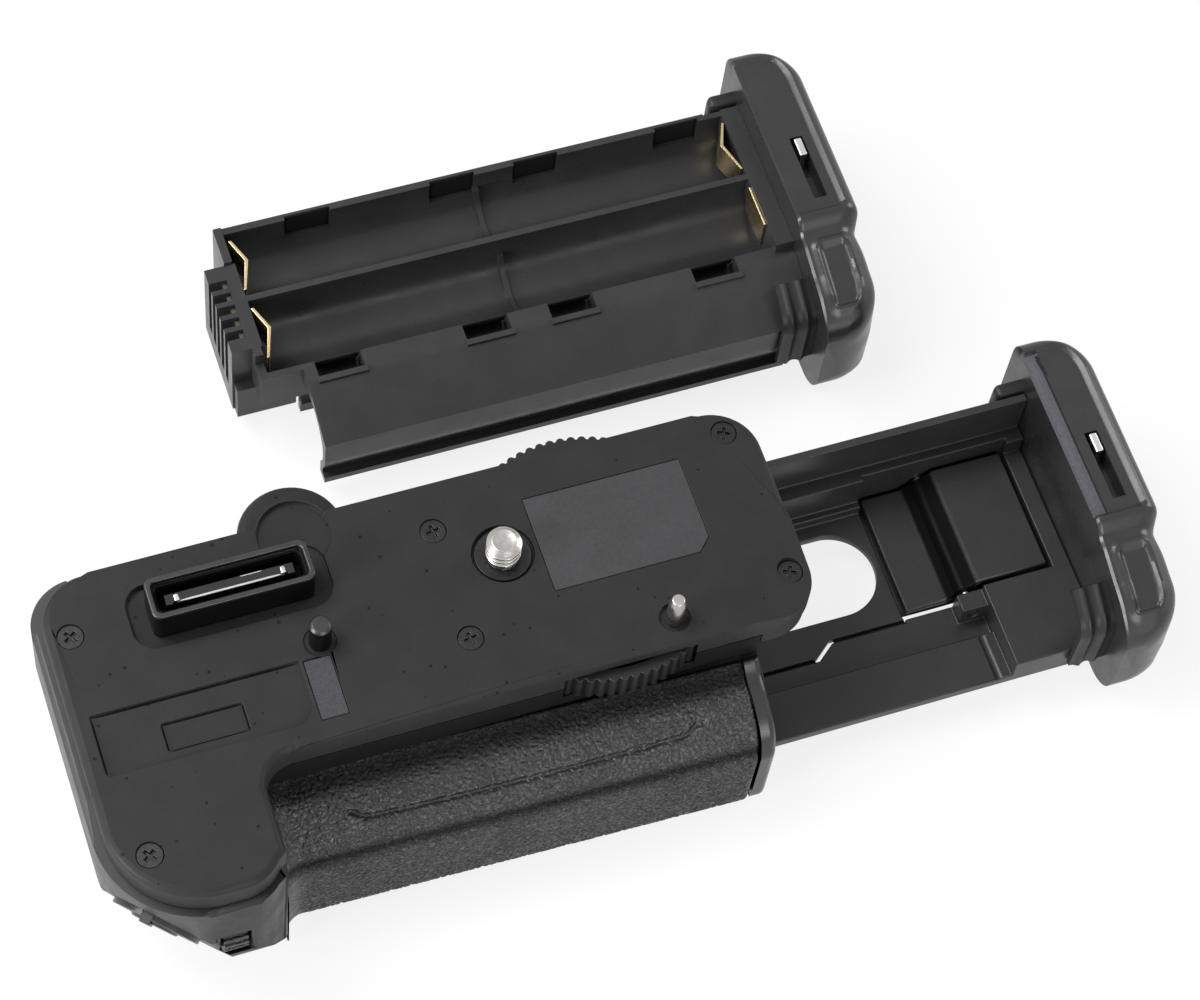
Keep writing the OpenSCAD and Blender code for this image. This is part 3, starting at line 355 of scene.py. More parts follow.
SATIN = Moulded("satin_plastic", (0.0155, 0.0155, 0.0165), 0.3, depth=0.008, specular=0.45)
INNER = Moulded(
    "inner_plastic", (0.026, 0.026, 0.0275), 0.32, grain=0.4, depth=0.012, strength=0.45, specular=0.27)
RUBBER = Moulded(
    "grip_rubber", (0.025, 0.0245, 0.0265), 0.36, Feature.GRAIN, depth=0.16, strength=0.85, specular=0.36)
SHELL = Moulded(
    "shell_plastic", (0.022, 0.022, 0.0225), 0.44, Feature.SPARK, grain=0.3, depth=0.02, strength=0.5,
    specular=0.15, polish=0.4)
PAD = Moulded(
    "rest_rubber", (0.057, 0.0555, 0.062), 0.9, Feature.PAD, grain=0.28, depth=0.1, strength=0.8,
    specular=0.15)
FINISHES = {
    "deck": replace(
        SHELL, name="deck_plastic", colour=(0.0205, 0.0205, 0.021), rough=0.5, depth=0.025,
        strength=0.6, specular=0.13, specks=0.6, polish=0.0),
    "shell": SHELL,
    "satin": SATIN,
    "inner": INNER,
    # painted shade on the slope between the lever's low plate and its thumb plate
    "lever": replace(INNER, name="lever_plastic", painted_shade_span=(84.4, 90.4)),
    "rubber": RUBBER,
    # painted shade: the skin's point attribute darkens its top band and a band below the finger groove
    "leather": replace(
        RUBBER, name="grip_leather", colour=(0.036, 0.0355, 0.038), specular=0.42, stain_and_painted_shade="painted_shade"),
    "shade": replace(
        SHELL, name="shaded_wall", colour=(0.009, 0.009, 0.0095), rough=0.5, specular=0.06, polish=0.5),
    # painted shadow for the lines along the recess edges
    "seam": replace(
        SHELL, name="seam_shadow", colour=(0.004, 0.004, 0.0042), rough=0.6, specular=0.03, polish=0.0),
    # painted shade on the shroud's front wall below its rim
    "plug": replace(SATIN, name="plug_plastic", painted_shade_span=(-3.0, 6.45), painted_shade_axis=2),
    "wheel": Moulded("wheel_rubber", (0.011, 0.011, 0.0115), 0.36, grain=0.4),
    "seal": Moulded("soft_seal", (0.012, 0.012, 0.012), 0.45, grain=0.6),
    "label": Moulded(
        "label_film", (0.037, 0.037, 0.039), 0.5, grain=0.8, depth=0.004, strength=0.25, specular=0.25),
    "pad": PAD,
    "felt": replace(
        PAD, name="felt_strip", colour=(0.105, 0.102, 0.118), rough=0.85, grain=0.22, depth=0.05,
        strength=0.6),
    "dark": Metal("darkened_contact", (0.1, 0.085, 0.06), 0.42, streak=(1.0, 8.0, 1.0)),
    "tongue": Moulded("plug_tongue", (0.014, 0.014, 0.015), 0.42, specular=0.25),
    "steel": Metal("turned_steel", (0.44, 0.425, 0.405), 0.26),
    "bright": Metal("bright_plate", (0.62, 0.62, 0.61), 0.2, streak=(1.0, 6.0, 1.0)),
    "contact": Metal("plated_spring_sheet", (0.6, 0.47, 0.26), 0.26, streak=(1.0, 8.0, 1.0)),
    "black": Metal("blackened_steel", (0.035, 0.035, 0.036), 0.38, streak=(3.0, 3.0, 3.0)),
    "board": Laminate(),
}

NODE_FINISH = {
    "deck": ("top_deck",),
    "shell": ("floor_panel", "rear_panel", "shutter_block", "base_plate"),
    "shade": ("lower_shell",),
    "wheel": ("thumbwheel",),
    "satin": (
        "bulge_collar", "shutter_button", "shutter_ring",
        "lock_button", "selector_pad", "holder_cap", "holder_knob", "cell_cap", "cell_knob",
    ),
    "inner": (
        "chamber_roof", "guide_rails", "contact_block", "selector_gimbal", "holder_tray",
        "holder_terminal", "cell_frame", "cell_terminal",
    ),
    "lever": ("eject_lever",),
    "plug": ("plug_shroud", "locating_peg"),
    "rubber": ("bulge_rubber", "front_dial", "rear_dial"),
    "seal": ("seam_gasket", "base_pads", "holder_gasket", "cell_gasket"),
    "label": ("label_plate",),
    "pad": ("rest_pad",),
    "steel": (
        "locating_pin", "tripod_socket", "wheel_axle", "front_dial_axle", "rear_dial_axle",
        "camera_screw", "eject_pin",
    ),
    "bright": ("holder_tab", "cell_tab"),
    "contact": (
        "contact_blades", "screw_pinion", "cell_springs", "cell_plates", "cell_under_contacts",
    ),
    "dark": ("holder_contacts", "cell_contacts"),
    "tongue": ("plug_insert",),
    "black": ("deck_screws", "screw_clip"),
    "board": ("control_board",),
}

FINE_ROUND = 0.15
EDGE_ROUND = {
    "floor_panel": 0.3, "base_plate": 0.3, "holder_tray": 0.3, "cell_frame": 0.2, "eject_lever": 0.35,
    "plug_shroud": 0.3, "holder_tab": 0.35, "cell_tab": 0.35, "holder_knob": 0.3, "cell_knob": 0.3,
    "holder_terminal": 0.3, "lock_button": 0.3, "selector_pad": 0.3, "guide_rails": 0.3,
}
WIDE_ROUND = {"top_deck": (1.35, Rounding.RIM), "shutter_block": (1.1, Rounding.LONG)}
CLAMPED = {
    "rear_panel", "seam_gasket", "screw_clip", "screw_pinion", "label_plate", "rest_pad",
    "cell_plates", "cell_springs", "cell_under_contacts", "cell_frame", "holder_contacts",
    "cell_contacts", "contact_blades", "plug_insert",
}
SQUARE = {"cell_terminal"}

# Painted shade below the tray's gaps: name, X span, Y span and height.
GAP_SHADES = (
    ("tray_gap_shade", (75.6, 108.4), (-15.6, 11.6), -39.25),
    ("tray_gap_shade_front", (87.0, 108.4), (-17.6, -15.4), -38.95),
    ("slit_shade_left", (24.0, 57.4), (-21.2, -19.0), -39.25),
    ("slit_shade_right", (62.0, 76.4), (-18.4, -16.2), -38.95),
)

# Painted shadow lines at the foot of the recess walls: start, end, width and height.
RECESS_SHADOWS = (
    ((-77.0, -9.95), (-40.4, -9.95), 0.42, -0.585),
    ((-76.95, -21.0), (-76.95, -10.1), 0.26, -0.585),
    ((-65.9, -14.38), (-51.6, -14.38), 0.34, -1.085),
    ((-65.9, -19.52), (-51.6, -19.52), 0.34, -1.085),
    ((-65.84, -19.6), (-65.84, -14.3), 0.3, -1.085),
    ((-51.68, -19.6), (-51.68, -14.3), 0.3, -1.085),
    ((-64.0, 11.65), (-32.0, 11.65), 0.4, -1.185),
    ((-64.0, -0.35), (-32.0, -0.35), 0.3, -1.185),
)
TONGUE_EDGE = (
    ((-57.2, 4.86), (-38.8, 4.86), 0.46, 4.64),
    ((-57.5, 5.0), (-57.5, 6.3), 0.9, 4.64),
    ((-38.5, 5.0), (-38.5, 6.3), 0.9, 4.64),
    ((-46.0, 6.45), (-42.0, 6.45), 0.18, 4.64),
)


def smooth_step(value: Array, low: float, high: float) -> Array:
    """Returns a smooth step from 0 at low to 1 at high."""
    t = np.clip((value - low) / (high - low), 0.0, 1.0)
    return t * t * (3.0 - 2.0 * t)


def quarter_fall(reach: Array, radius: float) -> Array:
    """Returns how far a quarter circle drops at reach past its start."""
    r = np.clip(reach, 0.0, radius)
    return radius - np.sqrt(radius * radius - r * r)


def bell(value: Array, high: float, at: float | Array, half: float) -> Array:
    """Returns a Gaussian bump of a height and half width."""
    return high * np.exp(-(((value - at) / half) ** 2))


def run_length(line: Array) -> Array:
    """Returns the length run along a polyline up to each of its points."""
    return np.concatenate([[0.0], np.cumsum(np.linalg.norm(np.diff(line, axis=0), axis=1))])


class Materials:
    """Keeps one Blender material for each finish."""

    def __init__(self) -> None:
        """Builds every finish once."""
        self.made = {key: finish.material() for key, finish in FINISHES.items()}

    def dress(self, obj: Obj, key: str) -> None:
        """Gives an object one finish on all its faces."""
        slots = obj.material_slots
        if not slots:
            obj.data.materials.append(self.made[key])
        for slot in slots:
            slot.material = self.made[key]


def settle(obj: Obj, mats: Materials, finish: str, body: str, slot: str, *nodes: str) -> None:
    """Dresses a new piece and hangs it on its body.

    Args:
        obj: the piece.
        mats: all materials.
        finish: key of its finish.
        body: body it rides on.
        slot: not used.
        nodes: solids it stands in for.
    """
    mats.dress(obj, finish)
    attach(obj, body)
    if nodes:
        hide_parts(*nodes)
    LOG.info("built %s", obj.name)


class SoftEdges:
    """Modifiers that merge a solid's triangles, shade it by angle and round its edges."""

    def __init__(self) -> None:
        """Builds the node group that merges vertices and shades by angle."""
        g = Group("merge_and_shade")
        bare = g.add("GeometryNodeRemoveAttribute", 0, i0=g.start, Name="custom_normal")
        merged = g.add("GeometryNodeMergeByDistance", 0, i0=bare, Distance=MERGE_GAP * MM)
        soft = g.add("GeometryNodeSetShadeSmooth", 0, i0=merged)
        angle = g.add("GeometryNodeInputMeshEdgeAngle", "Unsigned Angle")
        sharp = g.add("FunctionNodeCompare", 0, i0=angle, i1=math.radians(SHADE_ANGLE))
        self.tree = g.close(g.add(
            "GeometryNodeSetShadeSmooth", 0, {"domain": "EDGE"}, i0=soft, Selection=sharp,
            Shade_Smooth=False))

    def weights(self, kind: Rounding) -> bpy.types.NodeTree:
        """Builds a node group that weighs the chosen sharp edges 1 for the bevel.

        A rim edge is told by the mean height of its two faces, away from the camera
        screw; a long one by its length.

        Args:
            kind: which edges take the full rounding.

        Returns:
            The node group.
        """
        g = Group("edge_weight_" + kind.name.lower())
        bend = g.add("GeometryNodeInputMeshEdgeAngle", "Unsigned Angle")
        sharp = g.math("GREATER_THAN", bend, math.radians(WEIGHT_ANGLE))
        if kind is Rounding.RIM:
            where = g.add("GeometryNodeInputPosition", 0)
            height = g.add("SeparateXYZ", 2, i0=where)
            middle = g.add("GeometryNodeFieldOnDomain", 0, {"domain": "FACE"}, i0=height)
            deep = g.math("LESS_THAN", middle, RIM_FACE_BELOW * MM)
            flush = g.math("GREATER_THAN", height, RIM_EDGE_ABOVE * MM)
            reach = g.add("VectorMath", "Value", {"operation": "LENGTH"}, i0=where)
            outside = g.math("GREATER_THAN", reach, RIM_CLEAR_OF_SCREW * MM)
            chosen = g.math("MULTIPLY", deep, g.math("MULTIPLY", flush, outside))
        else:
            one, two = (g.add("GeometryNodeInputMeshEdgeVertices", f"Position {i}") for i in (1, 2))
            apart = g.add("VectorMath", "Value", {"operation": "DISTANCE"}, i0=one, i1=two)
            chosen = g.math("GREATER_THAN", apart, LONG_EDGE * MM)
        return g.close(g.add(
            "GeometryNodeStoreNamedAttribute", 0, {"domain": "EDGE"}, i0=g.start,
            Name="bevel_weight_edge", Value=g.math("MULTIPLY", sharp, chosen)))

    def bevel(self, obj: Obj, width: float, limit: str, clamp: bool) -> None:
        """Adds one bevel.

        Args:
            obj: solid to round.
            width: width in millimetres.
            limit: how edges are picked, ANGLE or WEIGHT.
            clamp: whether the width gives way where edges lie close.
        """
        bevel = obj.modifiers.new("edge_round", "BEVEL")
        bevel.width = width * MM
        bevel.segments = 2 if limit == "ANGLE" else 4
        bevel.limit_method = limit
        bevel.angle_limit = math.radians(BEVEL_ANGLE)
        bevel.use_clamp_overlap = bevel.loop_slide = clamp
        bevel.harden_normals = True

    def soften(self, obj: Obj, name: str) -> None:
        """Merges a solid's points and rounds its edges as its name asks."""
        obj.modifiers.new("merge_and_shade", "NODES").node_group = self.tree
        if name in SQUARE:
            return
        if name in WIDE_ROUND:
            width, kind = WIDE_ROUND[name]
            obj.modifiers.new("edge_weight", "NODES").node_group = self.weights(kind)
            self.bevel(obj, width, "WEIGHT", False)
        if WIDE_ROUND.get(name, (0.0, Rounding.RIM))[1] is Rounding.RIM:
            self.bevel(obj, EDGE_ROUND.get(name, FINE_ROUND), "ANGLE", name in CLAMPED)


class Sheet:
    """Turns arrays of points into meshes."""

    @staticmethod
    def faces(nu: int, nv: int, closed: bool) -> Array:
        """Returns the quads of nu rows of nv points, each row open or closed."""
        a, b = np.meshgrid(np.arange(nu - 1), np.arange(nv if closed else nv - 1), indexing="ij")
        a1, b1 = a + 1, (b + 1) % nv
        quads = np.stack([a * nv + b, a1 * nv + b, a1 * nv + b1, a * nv + b1], -1)
        return quads.reshape(-1, 4)

    @staticmethod
    def mesh(name: str, points: Array, faces: list) -> Obj:
        """Makes a smoothly shaded object from points in millimetres.

        Args:
            name: name of the piece.
            points: array of n by 3.
            faces: lists of vertex numbers.

        Returns:
            The new object, linked to the scene.
        """
        data = bpy.data.meshes.new(name)
        data.from_pydata((np.asarray(points, float) * MM).tolist(), [], faces)
        data.update()
        data.polygons.foreach_set("use_smooth", np.full(len(data.polygons), True))
        obj = bpy.data.objects.new(name, data)
        bpy.context.scene.collection.objects.link(obj)
        return obj

    @staticmethod
    def rings(name: str, points: Array, caps: bool = True) -> Obj:
        """Makes an object from a row of closed sections.

        Args:
            name: name of the piece.
            points: array of nu by nv by 3, in millimetres.
            caps: whether the first and last sections are closed by a face.

        Returns:
            The new object.
        """
        nu, nv = points.shape[:2]
        faces = Sheet.faces(nu, nv, True).tolist()
        if caps:
            faces.append(list(range(nv)))
            faces.append(list(range((nu - 1) * nv, nu * nv))[::-1])
        return Sheet.mesh(name, points.reshape(-1, 3), faces)

    @staticmethod
    def many(name: str, parts: Array, thick: float) -> Obj:
        """Makes one thin object from several open grids.

        Args:
            name: name of the piece.
            parts: array of count by nu by nv by 3, in millimetres.
            thick: thickness in millimetres.

        Returns:
            The new object.
        """
        count, nu, nv = parts.shape[:3]
        quads = Sheet.faces(nu, nv, False)
        faces = (quads[None] + (np.arange(count) * nu * nv)[:, None, None]).reshape(-1, 4)
        piece = Sheet.mesh(name, parts.reshape(-1, 3), faces.tolist())
        solid = piece.modifiers.new("sheet", "SOLIDIFY")
        solid.thickness, solid.offset = thick * MM, 0.0
        return piece


@dataclass
class BulgeSkin:
    """Skin over the front bulge: grained rubber with a finger groove, or the smooth collar."""

    name: str = "bulge_skin"
    node: str = "bulge_rubber"
    finish: str = "leather"
    slot: str = "grip_rubber"
    count: tuple[int, int] = (380, 180)
    lead: float = 4.5
    lead_rows: int = 36
    lip: float = 1.0
    x0: float = -51.6
    x1: float = 36.8
    nose_y: float = -30.3
    nose_z: float = -25.2
    nose_r: float = 9.8
    slope: float = 28.0
    toe_r: float = 5.2
    toe_z: float = -40.2
    foot_z: float = -42.4
    top_y: float = -25.7
    lean: float = 1.5
    lean_x: float = -6.0
    skin: float = 1.4
    groove: float = 0.75
    groove_x: tuple[float, float] = (-38.0, 27.0)
    groove_at: float = 10.6
    groove_bow: float = 0.6
    groove_half: float = 0.55
    curls: tuple = ((1.5, -37.6, 1.6), (1.7, 26.6, 1.8))
    brow: float = 0.6
    flare: float = 4.2
    grain: float = 1.15
    grain_depth: float = 0.28
    crease: float = 0.42
    ledge: float = 0.35
    dish: tuple[float, float, float] = (0.8, 3.0, 2.2)
    hollow: tuple[float, float, float] = (0.6, 17.5, 1.8)
    # band of painted shade below the finger groove: depth, place and half width along the section
    shade_band: tuple[float, float, float] = (0.75, 17.6, 1.7)
    inside: int = 30

    def profile(self, count: int) -> tuple[Array, Array]:
        """Works out the section as a polyline with outward normals.

        The section is a slope that meets the upper round tangentially, the round
        itself, a straight front and the toe round down to the foot.

        Args:
            count: number of points along the section.

        Returns:
            Points (y, z) and their outward normals, both count by 2.
        """
        s = math.radians(self.slope)
        centre = np.array([self.nose_y, self.nose_z])
        tangent = centre + self.nose_r * np.array([-math.sin(s), math.cos(s)])
        top = np.array([self.top_y, tangent[1] + (self.top_y - tangent[0]) * math.tan(s)])
        arc = np.linspace(math.pi / 2 + s, math.pi, 40)
        toe_end = math.pi + math.asin((self.toe_z - self.foot_z) / self.toe_r)
        toe = np.linspace(math.pi, toe_end, 16)
        front = self.nose_y - self.nose_r
        pts = np.vstack([
            np.linspace(top, tangent, 40)[:-1],
            np.stack([self.nose_y + self.nose_r * np.cos(arc), self.nose_z + self.nose_r * np.sin(arc)], 1),
            np.stack([
                front + self.toe_r + self.toe_r * np.cos(toe), self.toe_z + self.toe_r * np.sin(toe)], 1),
        ])
        run = run_length(pts)
        at = np.linspace(0.0, run[-1], count)
        pts = np.stack([np.interp(at, run, pts[:, i]) for i in range(2)], 1)
        tangent = np.gradient(pts, axis=0)
        tangent /= np.linalg.norm(tangent, axis=1, keepdims=True)
        return pts, np.stack([tangent[:, 1], -tangent[:, 0]], 1)

    def leather(self, u: Array, v: Array) -> Array:
        """Returns the grain: 0 in the creases and 1 on the pebbles.

        A jittered point lies in every square of a lattice; the value grows with the
        difference between the distances to the second and to the nearest point.

        Args:
            u: lengths along X.
            v: lengths along the section.

        Returns:
            Height of the pebbles, shaped like u.
        """
        bend = 0.5 * np.sin(u * 1.9 + 1.3 * np.sin(v * 1.1)) + 0.3 * np.sin(u * 0.6 - v * 2.3)
        a, b = (u + 0.4 * bend) / self.grain, (v + 0.4 * np.roll(bend, 7, 0)) / (self.grain * 0.8)
        ca, cb = np.floor(a), np.floor(b)
        best = np.full((2,) + u.shape, 9.0)
        for da in (-1, 0, 1):
            for db in (-1, 0, 1):
                ka, kb = ca + da, cb + db
                h1 = np.sin(ka * 127.1 + kb * 311.7) * 43758.5453
                h2 = np.sin(ka * 269.5 + kb * 183.3) * 43758.5453
                d = np.hypot(ka + h1 - np.floor(h1) - a, kb + h2 - np.floor(h2) - b)
                best = np.sort(np.stack([best[0], best[1], d]), 0)[:2]
        return smooth_step(best[1] - best[0], 0.0, self.crease)

    def groove_line(self, u: Array) -> tuple[Array, Array]:
        """Works out where the finger groove runs.

        The line bows by half a sine and curls back in a Gaussian at both ends.

        Args:
            u: lengths along X.

        Returns:
            Its place on the section, and a value that is 1 between its ends, else 0.
        """
        start, end = self.groove_x
        along = np.clip((u - start) / (end - start), 0.0, 1.0)
        curl = sum(bell(u, *curl) for curl in self.curls)
        line = self.groove_at + self.groove_bow * np.sin(along * math.pi) - curl
        rise = 1.0 / (1.0 + np.exp(-(u - start + 0.4) * 2.4))
        return line, rise / (1.0 + np.exp((u - end - 0.4) * 2.4))

    def points(self, nu: int, nv: int) -> Array:
        """Carries the section along X with the groove, grain and shaped ends.

        A point is section(v) + normal(v) * h(u, v), turned by the lean. The height h
        holds a shallow dish in the slope, a groove drawn as a narrow Gaussian along
        a line that curls at both ends, the leather grain, a hollow fillet that rises
        to the shutter block at the left and a quarter round at the right.

        Args:
            nu: points along X.
            nv: points along the section.

        Returns:
            Closed sections, nu by nv + inside by 3.
        """
        sec, nrm = self.profile(nv)
        dense = np.linspace(0.0, 1.0, self.lead_rows, endpoint=False) ** 1.5
        rest = np.linspace(self.x0 + self.lead, self.x1, nu - self.lead_rows)
        x = np.concatenate([self.x0 + self.lead * dense, rest])
        u, v = np.meshgrid(x, run_length(sec), indexing="ij")
        left, right = u - self.x0, self.x1 - u
        line, between = self.groove_line(u)
        groove = bell(v, self.groove, line, self.groove_half) * between
        ledge = self.ledge * between / (1.0 + np.exp((v - line) * 2.0)) / (1.0 + np.exp((4.0 - v) * 1.2))
        calm = 1.0 - 0.9 * np.exp(-(((v - line) / 0.95) ** 4)) * between
        smooth = calm * np.clip((left - 2.4) / 3.0, 0.0, 1.0) * np.clip(right / 1.5, 0.0, 1.0)
        smooth = smooth * np.clip((v - 0.7) / 1.2, 0.0, 1.0)
        pebbles = self.grain_depth * smooth * (self.leather(u, v) - 0.6)
        height = pebbles - groove - ledge - bell(v, *self.dish) - bell(v, *self.hollow)
        height = height - quarter_fall(self.lip - right, self.lip) - quarter_fall(self.brow - v, self.brow)
        height = height + np.clip(v / 3.0, 0.0, 1.0) * quarter_fall(self.flare - left, self.flare)
        outer = self.place(u, sec, nrm, height)
        back = np.linspace(nv - 1, 0, self.inside).astype(int)
        inner = self.place(u[:, back], sec[back], nrm[back], np.full((nu, self.inside), -self.skin))
        return np.concatenate([outer, inner], axis=1)

    def place(self, u: Array, sec: Array, nrm: Array, height: Array) -> Array:
        """Returns the section moved out by height and leaned about Z."""
        y = sec[None, :, 0] + nrm[None, :, 0] * height
        z = sec[None, :, 1] + nrm[None, :, 1] * height
        a = math.radians(-self.lean)
        dx, dy = u - self.lean_x, y - self.nose_y
        x2 = self.lean_x + dx * math.cos(a) - dy * math.sin(a)
        y2 = self.nose_y + dx * math.sin(a) + dy * math.cos(a)
        return np.stack([np.clip(x2, self.x0, self.x1), y2, z], -1)

    def painted_shade(self, nu: int, nv: int) -> Array:
        """Returns the painted shade at each point: dark in the top band under the deck and in a band below
        the finger groove.

        Args:
            nu: points along X.
            nv: points along the section.

        Returns:
            Values from 0 to 1 in the order of the points.
        """
        v = run_length(self.profile(nv)[0])
        top = 0.12 + 0.88 * smooth_step(v, 2.2, 8.0)
        band = 1.0 - bell(v, *self.shade_band)
        line = np.concatenate([top * band, np.ones(self.inside)])
        return np.tile(line, (nu, 1)).ravel()

    def build(self, mats: Materials) -> None:
        """Makes the skin as one closed sheet and puts it in place of its solid."""
        nu, nv = self.count
        skin = Sheet.rings(self.name, self.points(nu, nv))
        # the painted shade rides on the skin as a point attribute for its material
        skin.data.attributes.new("painted_shade", "FLOAT", "POINT").data.foreach_set("value", self.painted_shade(nu, nv))
        tidy(skin)
        settle(skin, mats, self.finish, "grip", self.slot, self.node)


@dataclass
class ThreadedScrew:
    """Camera screw with a rolled quarter inch thread."""

    radius: float = 3.175
    depth: float = 0.55
    pitch: float = 1.27
    low: float = -0.35
    high: float = 5.0
    sides: int = 72
    rows: int = 110
    run_out: float = 0.5
    chamfer: tuple[float, float] = (0.7, 0.95)
    shank: tuple = (
        (0.0, -7.3), (2.5, -7.3), (2.5, -2.8), (3.95, -2.8), (3.95, -0.95), (3.0, -0.95), (3.0, -0.5))
    crown: tuple = ((2.1, 5.0), (1.6, 4.85), (0.0, 4.85))

    @staticmethod
    def turned(outline: tuple, a: Array) -> Array:
        """Returns the rings (r cos a, r sin a, z) of an outline of (r, z) pairs."""
        r, z = np.array(outline).T[:, :, None]
        return np.stack([r * np.cos(a), r * np.sin(a), z + 0.0 * a], -1)

    def build(self, mats: Materials) -> None:
        """Makes the screw as one turned surface whose thread climbs with the angle.

        The radius at height z and angle a is a trapezium wave of z / pitch - a / turn,
        faded out at the root and at the chamfered tip.
        """
        a = np.linspace(0.0, 2.0 * math.pi, self.sides, endpoint=False)
        z = np.linspace(self.low, self.high, self.rows)
        zz, aa = np.meshgrid(z, a, indexing="ij")
        wave = np.abs((zz / self.pitch - aa / (2.0 * math.pi)) % 1.0 - 0.5) * 2.0
        crest = np.clip((wave - 0.22) / 0.5, 0.0, 1.0)
        fade = np.clip((zz - self.low) / self.run_out, 0.0, 1.0)
        r = self.radius - self.depth * (1.0 - crest * fade)
        length, drop = self.chamfer
        tip = np.clip((zz - (self.high - length)) / length, 0.0, 1.0)
        r = np.minimum(r, self.radius - drop * tip)
        body = np.stack([r * np.cos(aa), r * np.sin(aa), zz], -1)
        points = np.concatenate([self.turned(self.shank, a), body, self.turned(self.crown, a)], axis=0)
        screw = Sheet.rings("camera_screw_thread", points, caps=False)
        tidy(screw)
        settle(screw, mats, "steel", "screw", "steel", "camera_screw")


